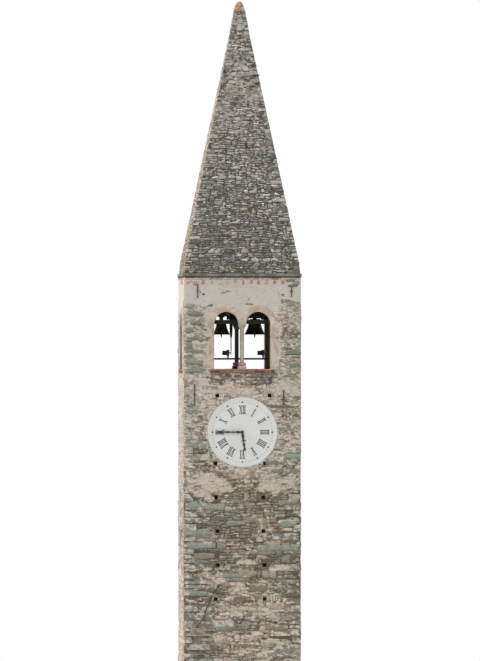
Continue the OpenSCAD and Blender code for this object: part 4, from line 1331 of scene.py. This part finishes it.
# Each row: its name, half its length, its height, how wide, tall and far out its pieces are, their
# colours, where their backs lie, the slot, how crooked they sit in degrees, and how much dirt and painted
# shade lie on their edges.
# The slabs' edge is a light upper row and a lower row with painted shade; the dark course under them is the
# slabs' painted shadow.
EAVES_ROWS = [
    ("eaves_slates_", EDGE, EAVES_Z + 0.075, (0.22, 0.62), (0.04, 0.06), (EDGE_OUT + 0.002, EDGE_OUT + 0.008),
     SLATES, EDGE_BACK, "eaves_stone", 0.3, 0.3),
    ("eaves_edge_", EDGE - 0.02, EAVES_Z + 0.022, (0.16, 0.5), (0.045, 0.065),
     (EDGE_OUT + 0.001, EDGE_OUT + 0.004), SHADED_SLATES, EDGE_BACK, "eaves_stone", 0.3, 0.6),
    ("eaves_bed_", HALF - 0.02, EAVES_Z - 0.036, (0.14, 0.5), (0.068, 0.076), (0.034, 0.044),
     SHADOW_COURSE, BACK, "eaves_stone", 0.3, 0.6),
    ("eaves_course_", HALF - 0.03, EAVES_Z - 0.112, (0.12, 0.36), (0.05, 0.08), (0.020, 0.032),
     LOW_COURSE, BACK, "eaves_stone", 1.0, 0.4)]
# The sill's bed row is coloured darker than its tiles, partly as painted shade under them.
SILL_ROWS = [
    ("sill_tiles_", SILL_REACH, SILL_Z - 0.012, (0.16, 0.34), (0.034, 0.044), (0.052, 0.064),
     SILL_TOPS, SILL_BACK, "sill_brick", 0.3, 0.4),
    ("sill_bed_", SILL_REACH - 0.01, SILL_Z - 0.088, (0.18, 0.46), (0.10, 0.12), (0.046, 0.054),
     SHADED_SILL_BEDS, SILL_BACK, "sill_brick", 0.3, 0.6)]


def row(draw, reach, z, wide, tall, out):
    """Stones side by side from one end of a row to the other."""
    stones, u = [], -reach
    while u < reach - 0.02:
        width = draw.uniform(*wide)
        width = reach - u if reach - u - width < 0.6 * wide[0] else width
        stones.append((u + width / 2, z + draw.uniform(-UNEVEN, UNEVEN), width - ROW_GAP,
                       draw.uniform(*tall), draw.uniform(*out)))
        u += width
    return stones


def lay_row(name, side, stones, tones, base, slot, tilt, dark, draw):
    """Lays a row in colours picked by chance from a list."""
    colours = [linear(tones[draw.integers(0, len(tones))]) * draw.uniform(0.9, 1.1) for _ in stones]
    turn = np.radians(draw.normal(0, tilt, len(stones)))
    return set_stones(name + side, side, stones, colours, base, turn, dark, STONE, slot, draw, 0.0, 0.3)


def teeth(draw):
    """Bricks on end under the eaves, a little uneven in place and length."""
    places = np.arange(-1.50, 1.62, 0.305) + draw.uniform(-0.03, 0.03, 11)
    return [(u, EAVES_Z - 0.215 - draw.uniform(0, 0.03), draw.uniform(0.12, 0.16), draw.uniform(0.17, 0.23),
             draw.uniform(0.020, 0.030)) for u in places]


def lay_rows(rows, side, draw):
    """Lays rows one after another on a side."""
    for name, reach, z, wide, tall, out, *rest in rows:
        lay_row(name, side, row(draw, reach, z, wide, tall, out), *rest, draw)


for side in SIDES:
    draw = np.random.default_rng(SEED[side] + 40)
    lay_rows(EAVES_ROWS, side, draw)
    bricks = teeth(draw)
    lay_row("eaves_teeth_", side, bricks[:5], FADED_REDS, BACK, "sill_brick", 2.0, 0.3, draw)
    lay_row("eaves_bricks_", side, bricks[5:], BRICK_REDS, BACK, "sill_brick", 2.0, 0.3, draw)
    lay_rows(SILL_ROWS, side, draw)

# %% Single bricks and scars on the clock side
# Each odd stone: u, z, width, height, how far out it stands, if not all the same, and colour.
ODD_STONES = [
    (-0.41, 9.955, 0.22, 0.15, 0.062, (160, 137, 126)), (0.385, 9.955, 0.22, 0.15, 0.062, (166, 138, 127)),
    (-2.05, 17.27, 0.24, 0.14, 0.028, (190, 156, 140)), (-1.83, 17.22, 0.16, 0.20, 0.028, (186, 142, 124)),
    (1.86, 17.33, 0.34, 0.12, 0.032, (118, 122, 108)), (2.08, 17.23, 0.26, 0.14, 0.032, (130, 136, 124)),
    (1.95, 17.12, 0.40, 0.10, 0.030, (108, 106, 92)), (-0.72, 16.86, 0.22, 0.05, 0.022, (96, 86, 74)),
    (-0.55, 16.91, 0.20, 0.045, 0.022, (104, 92, 78)), (-1.50, 16.80, 0.13, 0.10, 0.022, (92, 92, 92)),
    (0.24, 16.62, 0.10, 0.06, 0.022, (112, 104, 92)), (1.56, 16.78, 0.14, 0.09, 0.022, (98, 90, 78)),
    (-1.62, 16.88, 0.06, 0.08, 0.022, (110, 98, 86)), (-1.24, 16.38, 0.22, 0.08, 0.030, (128, 120, 106)),
    (0.28, 16.42, 0.34, 0.09, 0.024, (150, 140, 126)), (-0.9, 17.02, 0.05, 0.04, 0.022, (120, 110, 96)),
    (0.9, 16.95, 0.05, 0.05, 0.022, (116, 104, 92))]
ODD_ROOF_STONES = [
    (0.36, 24.56, 0.16, 0.11, (150, 114, 98)), (-0.36, 26.02, 0.09, 0.14, (146, 116, 100)),
    (-0.30, 26.41, 0.10, 0.10, (136, 108, 92)), (0.26, 26.62, 0.18, 0.13, (124, 96, 82)),
    (1.10, 22.60, 0.26, 0.13, (136, 106, 92)), (-1.72, 18.41, 0.55, 0.07, (146, 126, 114)),
    (-2.02, 17.76, 0.36, 0.12, (150, 120, 100)), (2.08, 17.80, 0.20, 0.13, (138, 108, 90)),
    (0.28, 24.20, 0.06, 0.26, (62, 57, 51)), (0.18, 22.57, 0.14, 0.18, (58, 54, 48)),
    (0.50, 25.67, 0.26, 0.06, (60, 56, 50)), (0.60, 25.30, 0.30, 0.06, (64, 59, 53)),
    (0.66, 24.98, 0.24, 0.07, (60, 56, 50)), (0.30, 23.55, 0.30, 0.06, (66, 61, 54))]
ODD_ROOF_OUT = 0.036
CRACK = [(-0.89, 5.61), (-1.12, 5.23), (-1.24, 4.99), (-1.43, 4.53), (-1.48, 4.28), (-1.75, 3.97),
         (-1.82, 3.76)]
CRACK_WIDE, CRACK_OUT, CRACK_MARKS = 0.022, 0.044, 40


def set_chosen(name, chosen, out, lean, crooked, dark, material, slot, draw, breakage=1.0):
    """Stones picked one by one for the clock side, each with its colour last."""
    turn = np.radians(draw.normal(lean, crooked, len(chosen)))
    stones = [(*stone[:-1], out) if out else stone[:-1] for stone in chosen]
    colours = [linear(stone[-1]) for stone in chosen]
    return set_stones(name, "front", stones, colours, BACK, turn, dark, material, slot, draw, 0.0, breakage)


draw = np.random.default_rng(77)
set_chosen("odd_stones", ODD_STONES, None, 4, 6, 0.4, STONE, "rubble_stone", draw, 0.35)
set_chosen("odd_roof_stones", ODD_ROOF_STONES, ODD_ROOF_OUT, 0, 4, 0.5, SPIRE_STONE, "spire_stone", draw)


def crack_shade_strip(name, side, path):
    """A wandering dark strip standing out along a crack in the wall, its colour painted shade of the open
    crack.
    """
    marks = np.linspace(0, 1, CRACK_MARKS)
    along = np.linspace(0, 1, len(path))
    u = np.interp(marks, along, [p[0] for p in path]) + 0.05 * (patches(marks, marks, 0.05, 0.05, 91) - 0.5)
    z = np.interp(marks, along, [p[1] for p in path])
    across = CRACK_WIDE * (0.35 + 0.65 * np.sin(np.pi * marks) ** 0.5)
    corners = [on_side(side, u + s * across, z, out)
               for s, out in ((-1, BACK), (-1, CRACK_OUT), (1, CRACK_OUT), (1, BACK))]
    points = np.stack(corners, 1).reshape(-1, 3)
    last = len(points)
    faces = [(0, 3, 2, 1), (last - 4, last - 3, last - 2, last - 1)]
    for i in range(0, last - 4, 4):
        for a in range(4):
            b = (a + 1) % 4
            faces.append((i + a, i + b, i + 4 + b, i + 4 + a))
    # The strip is coloured dark as the crack's painted shade.
    tones = np.tile([*linear((74, 66, 56)), 0.0], (len(points), 1))
    return new_piece(name, points, faces, STONE, "rubble_stone", tones=tones)


crack_shade_strip("crack_shade", "front", CRACK)
print("rows at the eaves and sills laid on", len(SIDES), "sides")

# %% [markdown]
# ## Ironwork, mouldings and the door
# Founders cast raised bands round a bell, carpenters tie a headstock with iron straps, and a door is a
# set of planks on two strap hinges. Bands are spun from one small profile, straps and planks are cut from
# a cube with softened edges, and what repeats is modelled once and copied.

# %% Straps, bands and bolts
BAND_SHARES = (0.05, 0.09, 0.50, 0.54, 0.66)
BAND_TALL, BAND_PROUD, BAND_STEPS = 0.018, 0.007, 72
STRAP_PLACES = ((-0.27, 0.10), (-0.09, 0.20), (0.09, 0.20), (0.27, 0.10))
STRAP_FOOT, STRAP_WIDE, STRAP_DEEP = 0.09, 0.04, 0.010


def shape_bolt():
    """A six-sided nut with a domed end, along Y."""
    bpy.ops.mesh.primitive_cylinder_add(vertices=6, radius=0.5, depth=0.6, location=(0, 0, 0),
                                        rotation=(math.radians(90), 0, 0))
    bpy.ops.object.transform_apply(location=True, rotation=True, scale=True)
    with editing(lambda face: abs(face.normal.y) > 0.9):
        bpy.ops.mesh.inset(thickness=0.12, depth=0.12)
    return arrays_of_active()


def copies(name, shape, places, material, slot, body="tower"):
    """One joined piece with a copy of a shape, scaled, at each (x, y, z, wide, deep, tall)."""
    points, faces = shape
    parts = [(points * place[3:] + place[:3], faces) for place in places]
    return new_piece(name, *joined(parts), material, slot, body, smooth=35)


def bell_radius(name, height):
    """A bell's outer radius at a height, from its own mesh."""
    corners = np.array([v.co[:] for v in nodes[name].data.vertices])
    reach = np.hypot(corners[:, 0] - middle_of(name), corners[:, 1])
    levels = np.unique(corners[:, 2].round(3))
    outer = np.array([reach[np.abs(corners[:, 2] - level) < 0.002].max() for level in levels])
    return float(np.interp(height, levels, outer))


def middle_of(name):
    """The x of a node's middle."""
    low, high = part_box(name)
    return (low.x + high.x) / 2


def shape_profile():
    """The outline of a band's section, a small square with rounded corners, in order round it."""
    bpy.ops.mesh.primitive_plane_add(size=1.0, location=(0, 0, 0))
    with editing():
        bpy.ops.mesh.bevel(offset=0.18, segments=2, affect="VERTICES")
    outline, _ = arrays_of_active()
    return outline[np.argsort(np.arctan2(outline[:, 1], outline[:, 0]))]


def spin_band(name, bell, height, body):
    """A raised band round a bell: a small rounded profile spun round the bell's axis."""
    middle = middle_of(bell)
    bottom, top = (bell_radius(bell, height + s * BAND_TALL / 2) for s in (-1, 1))
    across, up, _ = shape_profile().T
    x = middle + (bottom + (top - bottom) * (up + 0.5)) + across * 2 * BAND_PROUD
    profile = [(a, 0, b) for a, b in zip(x, height + up * BAND_TALL)]
    mesh = bpy.data.meshes.new(name)
    mesh.from_pydata(profile, [], [tuple(range(len(profile)))])
    piece = bpy.data.objects.new(name, mesh)
    bpy.context.collection.objects.link(piece)
    activate(piece)
    with editing():
        bpy.ops.mesh.spin(steps=BAND_STEPS, angle=math.tau, center=(middle, 0, 0), axis=(0, 0, 1))
        bpy.ops.mesh.remove_doubles(threshold=0.0004)
        bpy.ops.mesh.select_all(action="SELECT")
        bpy.ops.mesh.delete_loose()
        bpy.ops.mesh.select_all(action="SELECT")
        bpy.ops.mesh.normals_make_consistent(inside=False)
    return finish_piece(name, BRONZE, body)


BLOCK = shape_block(0.08)
BOLT = shape_bolt()
for hand in ("left", "right"):
    bell, yoke, body = "bell_" + hand, "headstock_" + hand, hand + "_bell"
    low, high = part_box(bell)
    for number, share in enumerate(BAND_SHARES):
        spin_band(f"band_{hand}_{number}", bell, low.z + share * (high.z - low.z), body)
    low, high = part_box(yoke)
    face = (high.y - low.y) / 2
    foot = low.z + STRAP_FOOT
    straps, bolts = [], []
    for x, rise in STRAP_PLACES:
        x += middle_of(bell)
        for s in (-1, 1):
            straps.append((x, s * (face + 0.004), foot + rise / 2, STRAP_WIDE, STRAP_DEEP, rise))
            bolts += [(x, s * (face + 0.014), foot + rise * t, 0.026, 0.02, 0.026) for t in (0.2, 0.8)]
    copies("straps_" + hand, BLOCK, straps, IRON, "iron", body)
    copies("bolts_" + hand, BOLT, bolts, IRON, "iron", body)
print("bands and straps on both bells")

# %% Planks and hinges of the door
PLANKS, PLANK_GAP = 6, 0.006
HINGES = (0.32, 1.55)
LEAF_LO, LEAF_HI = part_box("door_leaf")
FACE_OUT = LEAF_HI.y + 0.022
LOCK_X = LEAF_HI.x - 0.10
wide = (LEAF_HI.x - LEAF_LO.x) / PLANKS
tall = LEAF_HI.z - LEAF_LO.z - 0.012
planks = [(LEAF_LO.x + (i + 0.5) * wide, LEAF_HI.y + 0.007, (LEAF_LO.z + LEAF_HI.z) / 2, wide - PLANK_GAP,
           0.022, tall) for i in range(PLANKS)]
copies("door_planks", shape_block(0.03), planks, DOOR, "door_wood")
straps = [(LEAF_LO.x + 0.33, FACE_OUT, LEAF_LO.z + z, 0.58, 0.012, 0.055) for z in HINGES]
straps.append((LOCK_X, FACE_OUT, LEAF_LO.z + 0.98, 0.09, 0.010, 0.20))
copies("door_irons", BLOCK, straps, IRON, "iron")
studs = [(LEAF_LO.x + 0.10 + 0.12 * i, FACE_OUT + 0.008, LEAF_LO.z + z, 0.024, 0.02, 0.024)
         for i in range(5) for z in HINGES]
copies("door_studs", BOLT, studs, IRON, "iron")
ring_place = (LOCK_X, FACE_OUT + 0.016, LEAF_LO.z + 0.95)
bpy.ops.mesh.primitive_torus_add(location=ring_place, rotation=(math.radians(90), 0, 0), major_radius=0.045,
                                 minor_radius=0.007, major_segments=32, minor_segments=10)
with editing():
    bpy.ops.transform.resize(value=(1.0, 1.0, 1.15), center_override=ring_place)
finish_piece("door_ring", IRON)
print("planks on the door:", PLANKS)

# %% [markdown]
# ## Floor, light and camera
# A pale floor and a white sky stand in for a studio. The camera stands far off and level with the
# belfry, a little to the left, so the left side shows as a narrow strip.

# %% Floor, sky and lamps
WHITE = (255, 255, 255)
SKY_TINT = (0.93, 0.965, 1.0, 1.0)


def backdrop():
    """A floor that takes the tower's shadow near it and is plain white further off."""
    bpy.ops.mesh.primitive_plane_add(size=900, location=(0, 0, 0))
    floor = bpy.context.object
    floor.name = "floor"
    f = Finish("studio_floor", 0.9)
    f.colour((236, 234, 230))
    white = f.add("ShaderNodeEmission", {}, {"Color": WHITE, "Strength": 1.0})
    far = f.add("ShaderNodeVectorMath", {"operation": "LENGTH"}, {0: f.place}, "Value").between(7.0, 20.0)
    seen = far * (f.ray("Camera") + f.ray("Glossy") + f.ray("Transmission"))
    surface = f.add("ShaderNodeMixShader", {}, {0: seen, 1: Signal(f, f.shader.outputs[0]), 2: white})
    f.feed(f.nodes["Material Output"].inputs["Surface"], surface)
    floor.data.materials.append(f.material)
    bpy.ops.object.select_all(action="DESELECT")


def white_sky(strength):
    """A sky that lights the tower with its tint and strength but looks plain white."""
    world = bpy.data.worlds.new("studio_sky")
    bpy.context.scene.world = world
    world.use_nodes = True
    sky = Tree(world.node_tree)
    light = sky.nodes["Background"]
    light.inputs["Color"].default_value = SKY_TINT
    light.inputs["Strength"].default_value = strength
    plain = sky.add("ShaderNodeBackground", {}, {"Color": WHITE})
    seen = sky.ray("Camera").maths("MAXIMUM", sky.ray("Camera"), sky.ray("Glossy"))
    swap = sky.add("ShaderNodeMixShader", {}, {0: seen, 1: Signal(sky, light.outputs[0]), 2: plain})
    sky.feed(sky.nodes["World Output"].inputs["Surface"], swap)


def sun(name, strength, turn, height, colour, spread):
    """A sun lamp that shines from a bearing (0 is the clock side, 90 the right) and a height."""
    lamp = bpy.data.lights.new(name, "SUN")
    lamp.energy = strength
    lamp.angle = math.radians(spread)
    lamp.color = colour
    holder = bpy.data.objects.new(name, lamp)
    holder.rotation_euler = (math.radians(90 - height), 0, math.radians(turn))
    bpy.context.scene.collection.objects.link(holder)


backdrop()
white_sky(0.665)
sun("sun_left", 3.4, -86, 36, (1.0, 0.955, 0.91), 3)
sun("fill_front", 0.73, 8, 50, (0.95, 0.985, 1.0), 20)
bpy.context.scene.view_settings.view_transform = "Standard"

# %% Camera
DISTANCE = 400.0
BEARING = math.radians(-3.0)
EYE_Z = 15.4
SCALE = 25.9
IMAGE_H = 661
SENSOR = 36.0

eye = bpy.data.cameras.new("camera")
eye.lens = SENSOR * SCALE * (DISTANCE - HALF) / IMAGE_H
eye.clip_end = 2000.0
eye.shift_x = 0.7 / IMAGE_H
camera = bpy.data.objects.new("camera", eye)
camera.location = (DISTANCE * math.sin(BEARING), -DISTANCE * math.cos(BEARING), EYE_Z)
camera.rotation_euler = (math.radians(90), 0, BEARING)
bpy.context.scene.collection.objects.link(camera)
bpy.context.scene.camera = camera
